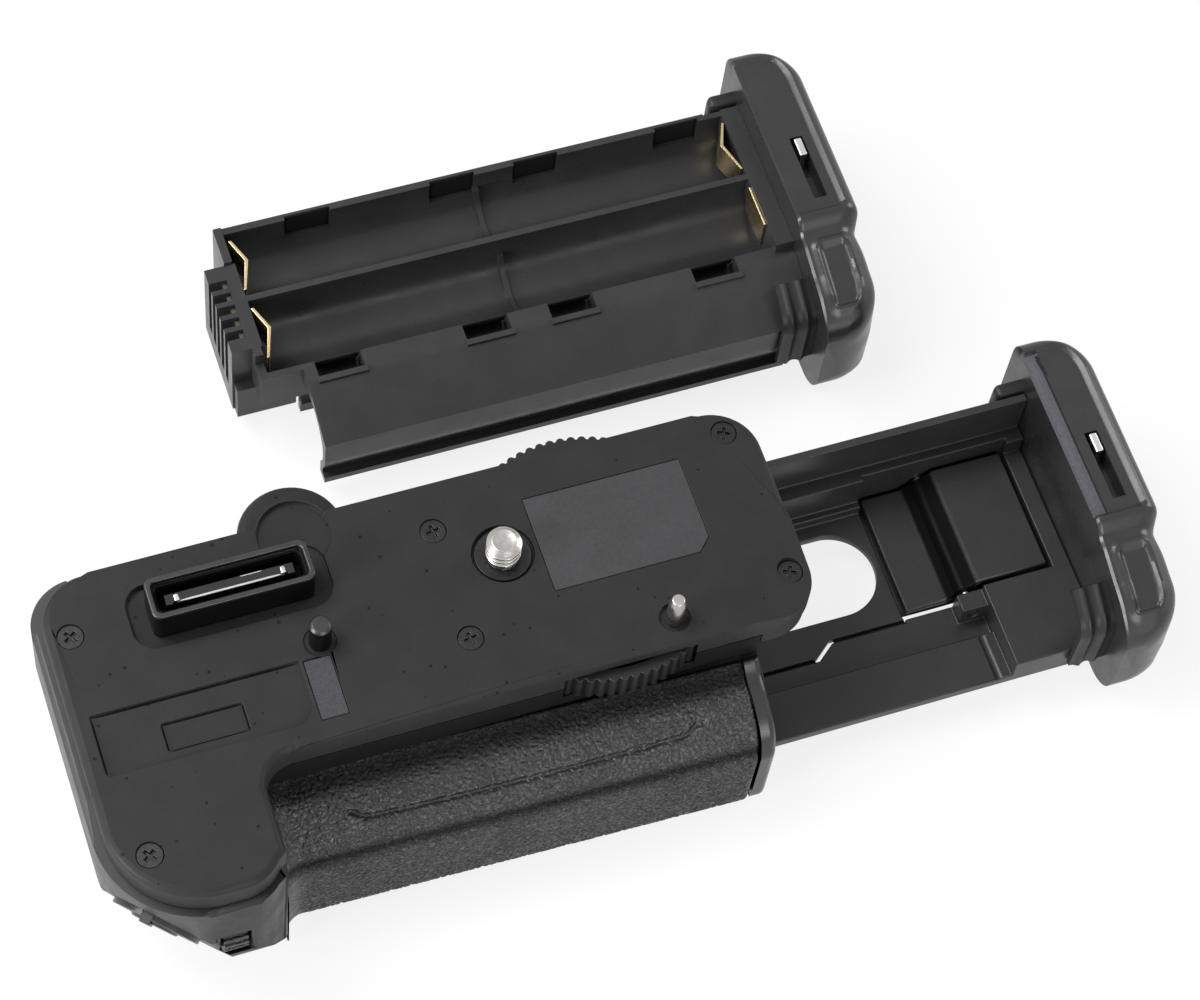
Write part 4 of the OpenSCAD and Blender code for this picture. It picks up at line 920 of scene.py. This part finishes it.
@dataclass
class CapShell:
    """Rounded end cap: hood with dished top and tab slot, waist and padded nose."""

    name: str
    body: str
    node: str
    shift: tuple[float, float, float]
    strip: bool
    x0: float = 40.64
    x1: float = 53.4
    y0: float = -40.35
    y1: float = 20.4
    hood_y: float = -20.2
    top: float = -10.5
    low: float = -43.6
    nose_line: tuple[float, float, float, float] = (-34.0, -16.6, 0.36, 0.6)
    nose_ball: tuple[float, float, float] = (-30.3, -25.2, 10.2)
    nose_soft: float = 1.6
    pad: tuple[float, float, float] = (-30.4, 6.2, 1.2)
    waist: tuple[float, float, float] = (0.35, -22.2, 1.2)
    waist_side: tuple[float, float, float] = (0.55, -23.0, 2.6)
    rounds: tuple[float, float, float] = (3.4, 3.8, 4.0)
    round_share: float = 0.46
    dish_deep: float = 0.7
    strip_deep: float = 0.9
    slot_deep: float = 4.5
    knob: tuple[float, float, float, float] = (-4.0, -27.0, 11.2, 3.4)
    slot: tuple[float, float, float, float] = (45.5, 48.1, -15.6, -1.4)
    hood_end: float = 3.2
    low_ends: tuple[float, float] = (4.0, 6.0)
    plan_ends: tuple[float, float] = (9.0, 8.5)
    nose_floor: float = -33.0
    hard: float = 38.0

    def rows(self) -> Array:
        """Returns the stations along Y, close together where the form turns."""
        marks = np.array(self.slot[2:])
        tight = np.concatenate([marks - 0.02, marks + 0.02])
        ends = self.y1 - 9.0 * (1.0 - np.sin(np.linspace(0.0, math.pi / 2, 26)))
        tip = self.y0 + 9.5 * (1.0 - np.sin(np.linspace(0.0, math.pi / 2, 40)))
        middle = np.linspace(self.y0 + 9.0, self.y1 - 9.0, 110)
        return np.unique(np.concatenate([middle, tight, ends, tip]))[::-1]

    def ends(self, y: Array, back: float, front: float) -> Array:
        """Returns how far two end rounds draw the outline in."""
        return quarter_fall(y - (self.y1 - back), back) + quarter_fall(self.y0 + front - y, front)

    def bounds(self, y: Array) -> tuple[Array, Array, Array]:
        """Works out the outline of the section at each station.

        The top is the hood, a smooth fall to the waist, the sloping nose and the
        round of the nose, joined by a smooth minimum. The outer side follows the
        plan of the hood and draws in at the waist and at both ends.

        Args:
            y: stations.

        Returns:
            Outer X, top Z and bottom Z of each station.
        """
        hood = self.top - quarter_fall(y - (self.y1 - self.hood_end), self.hood_end)
        knee_y, knee_z, rise, drop = self.nose_line
        slope = knee_z + (y - knee_y) * np.where(y > knee_y, rise, drop)
        ball_y, ball_z, ball_r = self.nose_ball
        ahead = y - ball_y
        ball = ball_z + np.sqrt(np.maximum(ball_r ** 2 - np.minimum(ahead, 0.0) ** 2, 0.0))
        ball = ball + rise * np.maximum(ahead, 0.0)
        share = np.clip(0.5 + 0.5 * (ball - slope) / self.nose_soft, 0.0, 1.0)
        nose = ball * (1.0 - share) + slope * share - self.nose_soft * share * (1.0 - share)
        nose = np.maximum(nose - bell(y, *self.waist), self.nose_floor)
        top = nose + (hood - nose) * smooth_step(y, self.hood_y - 1.4, self.hood_y + 1.6)
        out = self.x1 - self.ends(y, *self.plan_ends) - bell(y, *self.waist_side)
        return out, top, self.low + self.ends(y, *self.low_ends)

    def ring(self, y: Array, out: Array, top: Array, low: Array) -> tuple[Array, Array]:
        """Draws the closed section at each station.

        Inner face up, top, outer round, outer face down, lower round, bottom.

        Args:
            y: stations.
            out: outer X of each station.
            top: top Z of each station.
            low: bottom Z of each station.

        Returns:
            X and Z, stations by points of the section.
        """
        hood_round, nose_round, low_round = self.rounds
        most = self.round_share * np.minimum(top - low, out - self.x0)
        ru = np.minimum(np.where(y > self.hood_y, hood_round, nose_round), most)[:, None]
        rl = np.minimum(low_round, most)[:, None]
        top, low, out = top[:, None], low[:, None], out[:, None]
        lean = 0.07 * (1.0 - smooth_step(y, self.hood_y - 3.0, self.hood_y + 1.0))[:, None]
        a, b = self.slot[0] - self.x0, self.slot[1] - self.x0
        span = self.x1 - hood_round - self.x0
        marks = np.concatenate([
            np.linspace(0.5, 2.7, 6), [2.74], np.linspace(3.1, a - 0.02, 6),
            np.linspace(a + 0.02, b - 0.02, 5), np.linspace(b + 0.02, span, 8),
        ]) / span
        q = np.linspace(0.0, math.pi / 2, 12)[None, :]
        up = np.linspace(0.0, 1.0, 14)[None, :]
        down = np.linspace(0.0, 1.0, 44)[None, 1:-1]
        flat = np.linspace(1.0, 0.0, 10)[None, 1:]
        one = np.ones_like(top)
        xs = [self.x0 * one * np.ones_like(up), self.x0 + (out - ru - self.x0) * marks[None, :],
              out - ru + ru * np.sin(q), out * np.ones_like(down), out - rl + rl * np.cos(q),
              self.x0 + (out - rl - self.x0) * flat]
        zs = [low + (top - 0.5 - low) * up, top * np.ones_like(marks[None, :]), top - ru + ru * np.cos(q),
              top - ru + (low + rl - top + ru) * down, low + rl - rl * np.sin(q), low * np.ones_like(flat)]
        x, z = np.concatenate(xs, 1), np.concatenate(zs, 1)
        past = np.maximum(z + 31.0, 0.0) * lean * smooth_step(x, self.x0 + 3.0, self.x1 - 2.0)
        return x - past, z

    def relief(self, x: Array, y: Array, z: Array, out: Array, top: Array) -> tuple[Array, Array]:
        """Presses the dish, strip, slot and knob seat in, and raises the pad's border.

        Args:
            x: X of the grid.
            y: Y of the grid.
            z: Z of the grid.
            out: outer X, one column.
            top: top Z, one column.

        Returns:
            New X and Z.
        """
        on_top = z > top - 0.2
        hood = smooth_step(y, self.hood_y + 1.4, self.hood_y + 2.2)
        hood = hood * smooth_step(-y, -(self.y1 - 2.6), -(self.y1 - 3.6))
        z = z - self.dish_deep * hood * smooth_step(out - 2.6 - x, 0.0, 0.7) * on_top
        if self.strip:
            z = z - self.strip_deep * hood * (x < self.x0 + 2.72) * (z > top - 1.2)
        a, b, c, d = self.slot
        z = z - self.slot_deep * on_top * (x > a) * (x < b) * (y > c) * (y < d)
        px = np.abs(x - (self.x0 + out) / 2.0 + 0.9) - (out - self.x0) / 2.0 + 3.0
        pad_y, half, corner = self.pad
        py = np.abs(y - pad_y) - half
        gap = np.hypot(np.maximum(px + corner, 0.0), np.maximum(py + corner, 0.0))
        gap = gap + np.minimum(np.maximum(px, py) + corner, 0.0) - corner
        nose = (y < self.hood_y - 2.0) * smooth_step(z, top - 2.6, top - 0.8)
        z = z + nose * (bell(gap, 0.6, 0.0, 0.8) - 0.4 * smooth_step(-gap, 0.2, 1.2))
        ky, kz, kr, deep = self.knob
        seat = (x > out - 0.05) & (np.hypot(y - ky, z - kz) < kr)
        return np.where(seat, self.x1 - deep, x), z

    def lay_strip(self, cap: Obj, mats: Materials) -> None:
        """Gives the sunk band along the inner edge of the hood its felt finish."""
        cap.data.materials.append(mats.made["felt"])
        faces = cap.data.polygons
        middle, normal = np.empty(len(faces) * 3), np.empty(len(faces) * 3)
        faces.foreach_get("center", middle)
        faces.foreach_get("normal", normal)
        middle = middle.reshape(-1, 3) / MM - np.array(self.shift)
        band = (middle[:, 1] > self.hood_y + 2.4) & (middle[:, 1] < self.y1 - 3.4)
        band &= middle[:, 0] < self.x0 + 2.73
        band &= (normal.reshape(-1, 3)[:, 2] > 0.7) & (middle[:, 2] > self.top - 2.4)
        faces.foreach_set("material_index", band.astype(np.int32))

    def build(self, mats: Materials) -> None:
        """Makes the cap as one closed sheet and puts it in place of its solid."""
        y = self.rows()
        out, top, low = self.bounds(y)
        x, z = self.ring(y, out, top, low)
        grid_y = np.repeat(y[:, None], x.shape[1], 1)
        x, z = self.relief(x, grid_y, z, out[:, None], top[:, None])
        points = np.stack([x, grid_y, z], -1) + np.array(self.shift)
        cap = Sheet.rings(self.name, points)
        tidy(cap, self.hard)
        settle(cap, mats, "satin", self.body, "satin_plastic", self.node)
        if self.strip:
            self.lay_strip(cap, mats)


@dataclass
class CapRoot:
    """Shoulder of a cap that enters the mouth: ribbed nose wall and a block at the back."""

    name: str
    body: str
    node: str
    shift: tuple[float, float, float]
    x0: float = 33.6
    x1: float = 40.8
    centre: tuple[float, float] = (-30.3, -25.2)
    radius: float = 5.15
    thick: float = 1.0
    slope: float = 28.0
    rib_at: tuple[float, float] = (1.8, 4.8)
    rib_half: float = 0.7
    rib_high: float = 0.55
    ear: tuple[float, float, float, float] = (14.4, -27.2, 1.45, 10.4)
    ear_x: float = 1.4
    ear_round: float = 1.2
    hard: float = 50.0

    def nose_wall(self) -> Array:
        """Draws the curved wall of the nose with two seal ribs.

        The section is a slope, an arc and a straight drop; its points move out along
        their normals by half a millimetre times rib(x), two round bumps along X.

        Returns:
            Closed sections, stations by points by 3.
        """
        x = np.linspace(self.x0, self.x1, 60)
        s = math.radians(self.slope)
        t = np.linspace(math.pi / 2 + s, math.pi, 24)
        unit = np.concatenate([
            np.repeat([[-math.sin(s), math.cos(s)]], 8, 0), np.stack([np.cos(t), np.sin(t)], 1),
            np.repeat([[-1.0, 0.0]], 8, 0),
        ])
        rise = np.concatenate([np.linspace(5.2, 0.4, 8), np.zeros(32)])
        fall = np.concatenate([np.zeros(32), np.linspace(0.8, 10.5, 8)])
        rib = np.max([bell(x - self.x0, self.rib_high, at, self.rib_half) for at in self.rib_at], 0)
        base_y = self.centre[0] + rise * math.cos(s)
        base_z = self.centre[1] + rise * math.sin(s) - fall
        sides = []
        for reach in (self.radius + rib, np.full(60, self.radius - self.thick)):
            sides.append(np.stack([np.repeat(x[:, None], 40, 1), base_y + unit[:, 0] * reach[:, None],
                                   base_z + unit[:, 1] * reach[:, None]], -1))
        return np.concatenate([sides[0], sides[1][:, ::-1]], axis=1)

    def back_block(self) -> Array:
        """Draws the block behind the tray: a squared ellipse swept along X with round ends.

        A section point is centre + half * sign(c) |c| ** (1 / 4), with c the cosine
        or sine of the turn; the half sizes shrink to the quarter round at the free end.

        Returns:
            Closed sections, stations by points by 3.
        """
        y, z, half_y, half_z = self.ear
        t = np.linspace(0.0, 2.0 * math.pi, 64, endpoint=False)
        c, d = np.cos(t), np.sin(t)
        c, d = np.sign(c) * np.abs(c) ** 0.25, np.sign(d) * np.abs(d) ** 0.25
        turn = np.linspace(0.0, math.pi / 2, 10)
        along = np.concatenate([self.ear_round * (1.0 - np.cos(turn)), [3.0, 5.8]])
        x = self.x0 + self.ear_x + along
        cut = quarter_fall(self.ear_round - along, self.ear_round)[:, None]
        return np.stack([x[:, None] + 0.0 * t, y + (half_y - cut) * c, z + (half_z - cut) * d], -1)

    def build(self, mats: Materials) -> None:
        """Makes both pieces and puts them in place of the seal's solid."""
        wall = (self.name, self.nose_wall(), (self.node,))
        block = (self.name + "_block", self.back_block(), ())
        for name, ring, nodes in (wall, block):
            piece = Sheet.rings(name, ring + np.array(self.shift))
            tidy(piece, self.hard)
            settle(piece, mats, "seal", self.body, "soft_seal", *nodes)


@dataclass
class UnderSheet:
    """Thin dark sheet below the tray that closes the gaps in its floor: painted shade for the shadow seen
    through them.
    """

    name: str
    x: tuple[float, float]
    y: tuple[float, float]
    z: float
    thick: float = 0.25
    body: str = "holder"

    def build(self, mats: Materials) -> None:
        """Makes the sheet, z = z0 + 0.05 sin(x) sin(y) over its rectangle, and thickens it."""
        x, y = np.meshgrid(np.linspace(*self.x, 24), np.linspace(*self.y, 20), indexing="ij")
        z = self.z + 0.05 * np.sin(x * 0.4) * np.sin(y * 0.5)
        shade_sheet = Sheet.many(self.name, np.stack([x, y, z], -1)[None], self.thick)
        settle(shade_sheet, mats, "seal", self.body, "soft_seal")


@dataclass
class Ribbons:
    """Thin ribbons on the grip: dark lines of painted shadow along the recess edges, bright edge of the
    plug's tongue.
    """

    name: str
    finish: str
    slot: str
    lines: tuple
    body: str = "grip"
    thick: float = 0.06

    def ribbon(self, start: tuple, end: tuple, width: float, z: float) -> Array:
        """Draws one ribbon, start + (end - start) s + side * width * t, with tapered tips.

        Args:
            start: first point of the middle line.
            end: last point of it.
            width: full width.
            z: height.

        Returns:
            Points, 24 by 5 by 3.
        """
        s, t = np.meshgrid(np.linspace(0.0, 1.0, 24), np.linspace(-0.5, 0.5, 5), indexing="ij")
        a, b = np.array(start), np.array(end)
        way = (b - a) / np.linalg.norm(b - a)
        wide = width * (1.0 - np.abs(2.0 * s - 1.0) ** 12) * t
        xy = a + (b - a) * s[..., None] + np.array([-way[1], way[0]]) * wide[..., None]
        return np.concatenate([xy, np.full(s.shape + (1,), z)], -1)

    def build(self, mats: Materials) -> None:
        """Joins the ribbons into one thin piece."""
        parts = np.array([self.ribbon(*line) for line in self.lines])
        piece = Sheet.many(self.name, parts, self.thick)
        settle(piece, mats, self.finish, self.body, self.slot)


@dataclass
class FingerWindowShades:
    """Dark sheets in the finger windows in both walls of the cell magazine: painted shade for the dark
    inside seen through them.
    """

    shift: tuple[float, float, float]
    name: str = "window_shades"
    body: str = "magazine"
    starts: tuple[float, ...] = (-55.1, -26.1, -9.1, 19.9)
    width: float = 8.6
    middle: float = 4.5
    axis: tuple[float, float] = (-11.2, -20.6)
    radius: float = 7.42
    turn: tuple[float, float] = (3.2, 4.08)
    corner: float = 2.3
    back: tuple[float, float, float] = (12.06, -23.8, -18.3)
    back_lead: float = 3.4
    thick: float = 0.14

    def front(self, start: float) -> Array:
        """Lays one painted-shade sheet on the wall of the front well.

        With t from 0 to 1 the angle is a = a0 + (a1 - a0) t, the point is
        (middle + s * half(t), axis + radius * (cos a, sin a)), s from -1 to 1, and
        half(t) draws in along a quarter circle at the far end.

        Args:
            start: X at which the window begins.

        Returns:
            Points, 24 by 16 by 3.
        """
        t, s = np.meshgrid(np.linspace(0.0, 1.0, 24), np.linspace(-1.0, 1.0, 16), indexing="ij")
        a = self.turn[0] + (self.turn[1] - self.turn[0]) * t
        long = self.radius * (self.turn[1] - self.turn[0])
        half = self.width / 2.0 - quarter_fall(long * t - long + self.corner, self.corner)
        y, z = self.axis
        x = start + self.middle + s * half
        return np.stack([x, y + self.radius * np.cos(a), z + self.radius * np.sin(a)], -1)

    def rear(self, start: float) -> Array:
        """Lays one flat painted-shade sheet, (x0 + w s, y0, z0 + h t), on the back of a rear window."""
        s, t = np.meshgrid(np.linspace(0.0, 1.0, 16), np.linspace(0.0, 1.0, 24), indexing="xy")
        y, low, high = self.back
        x = start + self.back_lead + self.width * s
        return np.stack([x, np.full(s.shape, y), low + (high - low) * t], -1)

    def build(self, mats: Materials) -> None:
        """Joins all painted-shade sheets into one thin piece on the magazine."""
        parts = np.array([make(x) for x in self.starts for make in (self.front, self.rear)])
        piece = Sheet.many(self.name, parts + np.array(self.shift), self.thick)
        settle(piece, mats, "shade", self.body, "soft_seal")


def tidy(obj: Obj, hard: float = 0.0) -> None:
    """Cleans a new mesh: merges doubled points and turns its faces outwards.

    Args:
        obj: the piece.
        hard: edges that bend by more degrees than this shade hard; 0 leaves all soft.
    """
    work = bmesh.new()
    work.from_mesh(obj.data)
    bmesh.ops.remove_doubles(work, verts=work.verts, dist=WELD)
    bmesh.ops.dissolve_degenerate(work, dist=WELD, edges=work.edges)
    bmesh.ops.recalc_face_normals(work, faces=work.faces)
    if hard:
        work.normal_update()
        for edge in work.edges:
            edge.smooth = edge.calc_face_angle(0.0) < math.radians(hard)
    work.to_mesh(obj.data)
    work.free()


class SolidParts:
    """Carried over solids: their finishes and edge rounding."""

    def build(self, mats: Materials, edges: SoftEdges) -> None:
        """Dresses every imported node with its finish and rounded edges."""
        for key, names in NODE_FINISH.items():
            for name in names:
                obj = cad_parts.get(name)
                if obj is None:
                    LOG.warning("no node %s", name)
                    continue
                mats.dress(obj, key)
                edges.soften(obj, name)
        LOG.info("dressed %d solids", len(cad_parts))


@dataclass
class Studio:
    """White sweep, soft boxes and the camera at the photograph's place."""

    eye: tuple = (-116.528, -257.620, 546.624)
    right: tuple = (0.9435757, -0.3210968, 0.0810045)
    up: tuple = (0.2480645, 0.8473941, 0.4694543)
    back: tuple = (-0.2193830, -0.4228713, 0.8792332)
    lens: float = 105.0
    sensor: float = 36.0
    aim: tuple = (20.0, 10.0, -25.0)
    floor_side: float = 4000.0
    floor_tone: float = 0.86
    floor_glow: float = 0.82
    sky_level: float = 0.18
    floor_z: float = field(default_factory=lambda: CAD_BOX[0][2] / MM)
    boxes: tuple = (
        ("top_box", (-420.0, 300.0, 820.0), 550.0, 9.0),
        ("left_box", (-900.0, -150.0, 220.0), 500.0, 12.0),
        ("right_box", (900.0, 100.0, 400.0), 500.0, 4.0),
        ("front_box", (60.0, -900.0, 300.0), 500.0, 4.5),
    )

    def build(self) -> None:
        """Makes the floor, the world, the lamps and the camera."""
        self.floor()
        self.world()
        for name, at, side, power in self.boxes:
            self.lamp(name, at, side, power)
        self.camera()
        bpy.context.scene.view_settings.view_transform = "Standard"

    def seen(self, graph: Graph) -> Socket:
        """Returns 1 for camera, glossy and transmission rays, else 0."""
        path = graph.tree.nodes.new("ShaderNodeLightPath").outputs
        shown = graph.math("MAXIMUM", path["Is Camera Ray"], path["Is Glossy Ray"])
        return graph.math("MAXIMUM", shown, path["Is Transmission Ray"])

    def floor(self) -> None:
        """Lays a pale floor that looks white and keeps a soft shadow."""
        corners = np.array([[-1, -1], [1, -1], [1, 1], [-1, 1]]) * self.floor_side
        points = np.column_stack([corners, np.full(4, self.floor_z - 0.05)])
        plane = Sheet.mesh("floor", points, [[0, 1, 2, 3]])
        mat = bpy.data.materials.new("pale_floor")
        mat.use_nodes = True
        mat.node_tree.nodes.clear()
        g = Graph(mat.node_tree)
        matt = g.add("BsdfDiffuse", 0, Color=(*[self.floor_tone] * 3, 1.0))
        share = g.math("MULTIPLY", self.seen(g), self.floor_glow)
        mix = g.add("MixShader", 0, i0=share, i1=matt, i2=g.add("Emission", 0))
        g.put(g.tree.nodes.new("ShaderNodeOutputMaterial").inputs[0], mix)
        plane.data.materials.append(mat)

    def world(self) -> None:
        """Sets a white surround that lights the object at a plain level."""
        world = bpy.data.worlds.new("surround")
        bpy.context.scene.world = world
        world.use_nodes = True
        g = Graph(world.node_tree)
        sky = g.tree.nodes["Background"].inputs
        g.put(sky["Color"], (1.0, 1.0, 1.0, 1.0))
        g.put(sky["Strength"], g.add(
            "MapRange", 0, Value=self.seen(g), To_Min=self.sky_level, To_Max=1.0))

    def lamp(self, name: str, at: tuple, side: float, power: float) -> None:
        """Hangs a square soft box that faces the middle of the object."""
        light = bpy.data.lights.new(name, "AREA")
        light.size = side * MM
        light.energy = power
        obj = bpy.data.objects.new(name, light)
        bpy.context.scene.collection.objects.link(obj)
        z = np.array(at) - np.array(self.aim)
        z /= np.linalg.norm(z)
        x = np.cross([0.0, 0.0, 1.0], z)
        x /= np.linalg.norm(x)
        obj.matrix_world = self.pose(x, np.cross(z, x), z, at)

    def pose(self, x: object, y: object, z: object, at: object) -> Matrix:
        """Returns a matrix from three axes and a place in millimetres."""
        full = np.eye(4)
        full[:3, 0], full[:3, 1], full[:3, 2] = x, y, z
        full[:3, 3] = np.array(at) * MM
        return Matrix(full.tolist())

    def camera(self) -> None:
        """Puts the camera where the photograph was taken from."""
        lens = bpy.data.cameras.new("photo_camera")
        lens.lens, lens.sensor_width, lens.clip_start = self.lens, self.sensor, 0.01
        obj = bpy.data.objects.new("photo_camera", lens)
        bpy.context.scene.collection.objects.link(obj)
        obj.matrix_world = self.pose(self.right, self.up, self.back, self.eye)
        bpy.context.scene.camera = obj


def main() -> None:
    """Builds every class in order and reports each piece."""
    logging.basicConfig(level=logging.INFO, format="%(name)s: %(message)s")
    Studio().build()
    mats, edges = Materials(), SoftEdges()
    SolidParts().build(mats, edges)
    BulgeSkin().build(mats)
    BulgeSkin(
        "bulge_collar_skin", "bulge_collar", "satin", "satin_plastic", (76, 120), lead=0.6, lip=1.5,
        x0=36.9, x1=40.2, nose_r=9.6, toe_r=5.0, groove=0.0, flare=0.01, grain_depth=0.0,
        ledge=0.0, dish=(0.6, 3.0, 2.2), hollow=(0.2, 17.5, 1.8),
    ).build(mats)
    ThreadedScrew().build(mats)
    drawn, stood = (68.2, 0.0, 0.0), (38.1, 77.1, -0.9)
    CapShell("holder_cap_shell", "holder", "holder_cap", drawn, True).build(mats)
    CapShell("cell_cap_shell", "magazine", "cell_cap", stood, False).build(mats)
    CapRoot("holder_cap_root", "holder", "holder_gasket", drawn).build(mats)
    CapRoot("cell_cap_root", "magazine", "cell_gasket", stood).build(mats)
    # dark painted-shade sheets under the tray's gaps
    for name, x, y, z in GAP_SHADES:
        UnderSheet(name, x, y, z).build(mats)
    # painted shade sheets in the finger windows
    FingerWindowShades(stood).build(mats)
    # painted shadow lines along the recess edges
    Ribbons("recess_seams", "seam", "soft_seal", RECESS_SHADOWS).build(mats)
    Ribbons("plug_contact_edge", "bright", "steel", TONGUE_EDGE).build(mats)


if __name__ == "__main__":
    main()
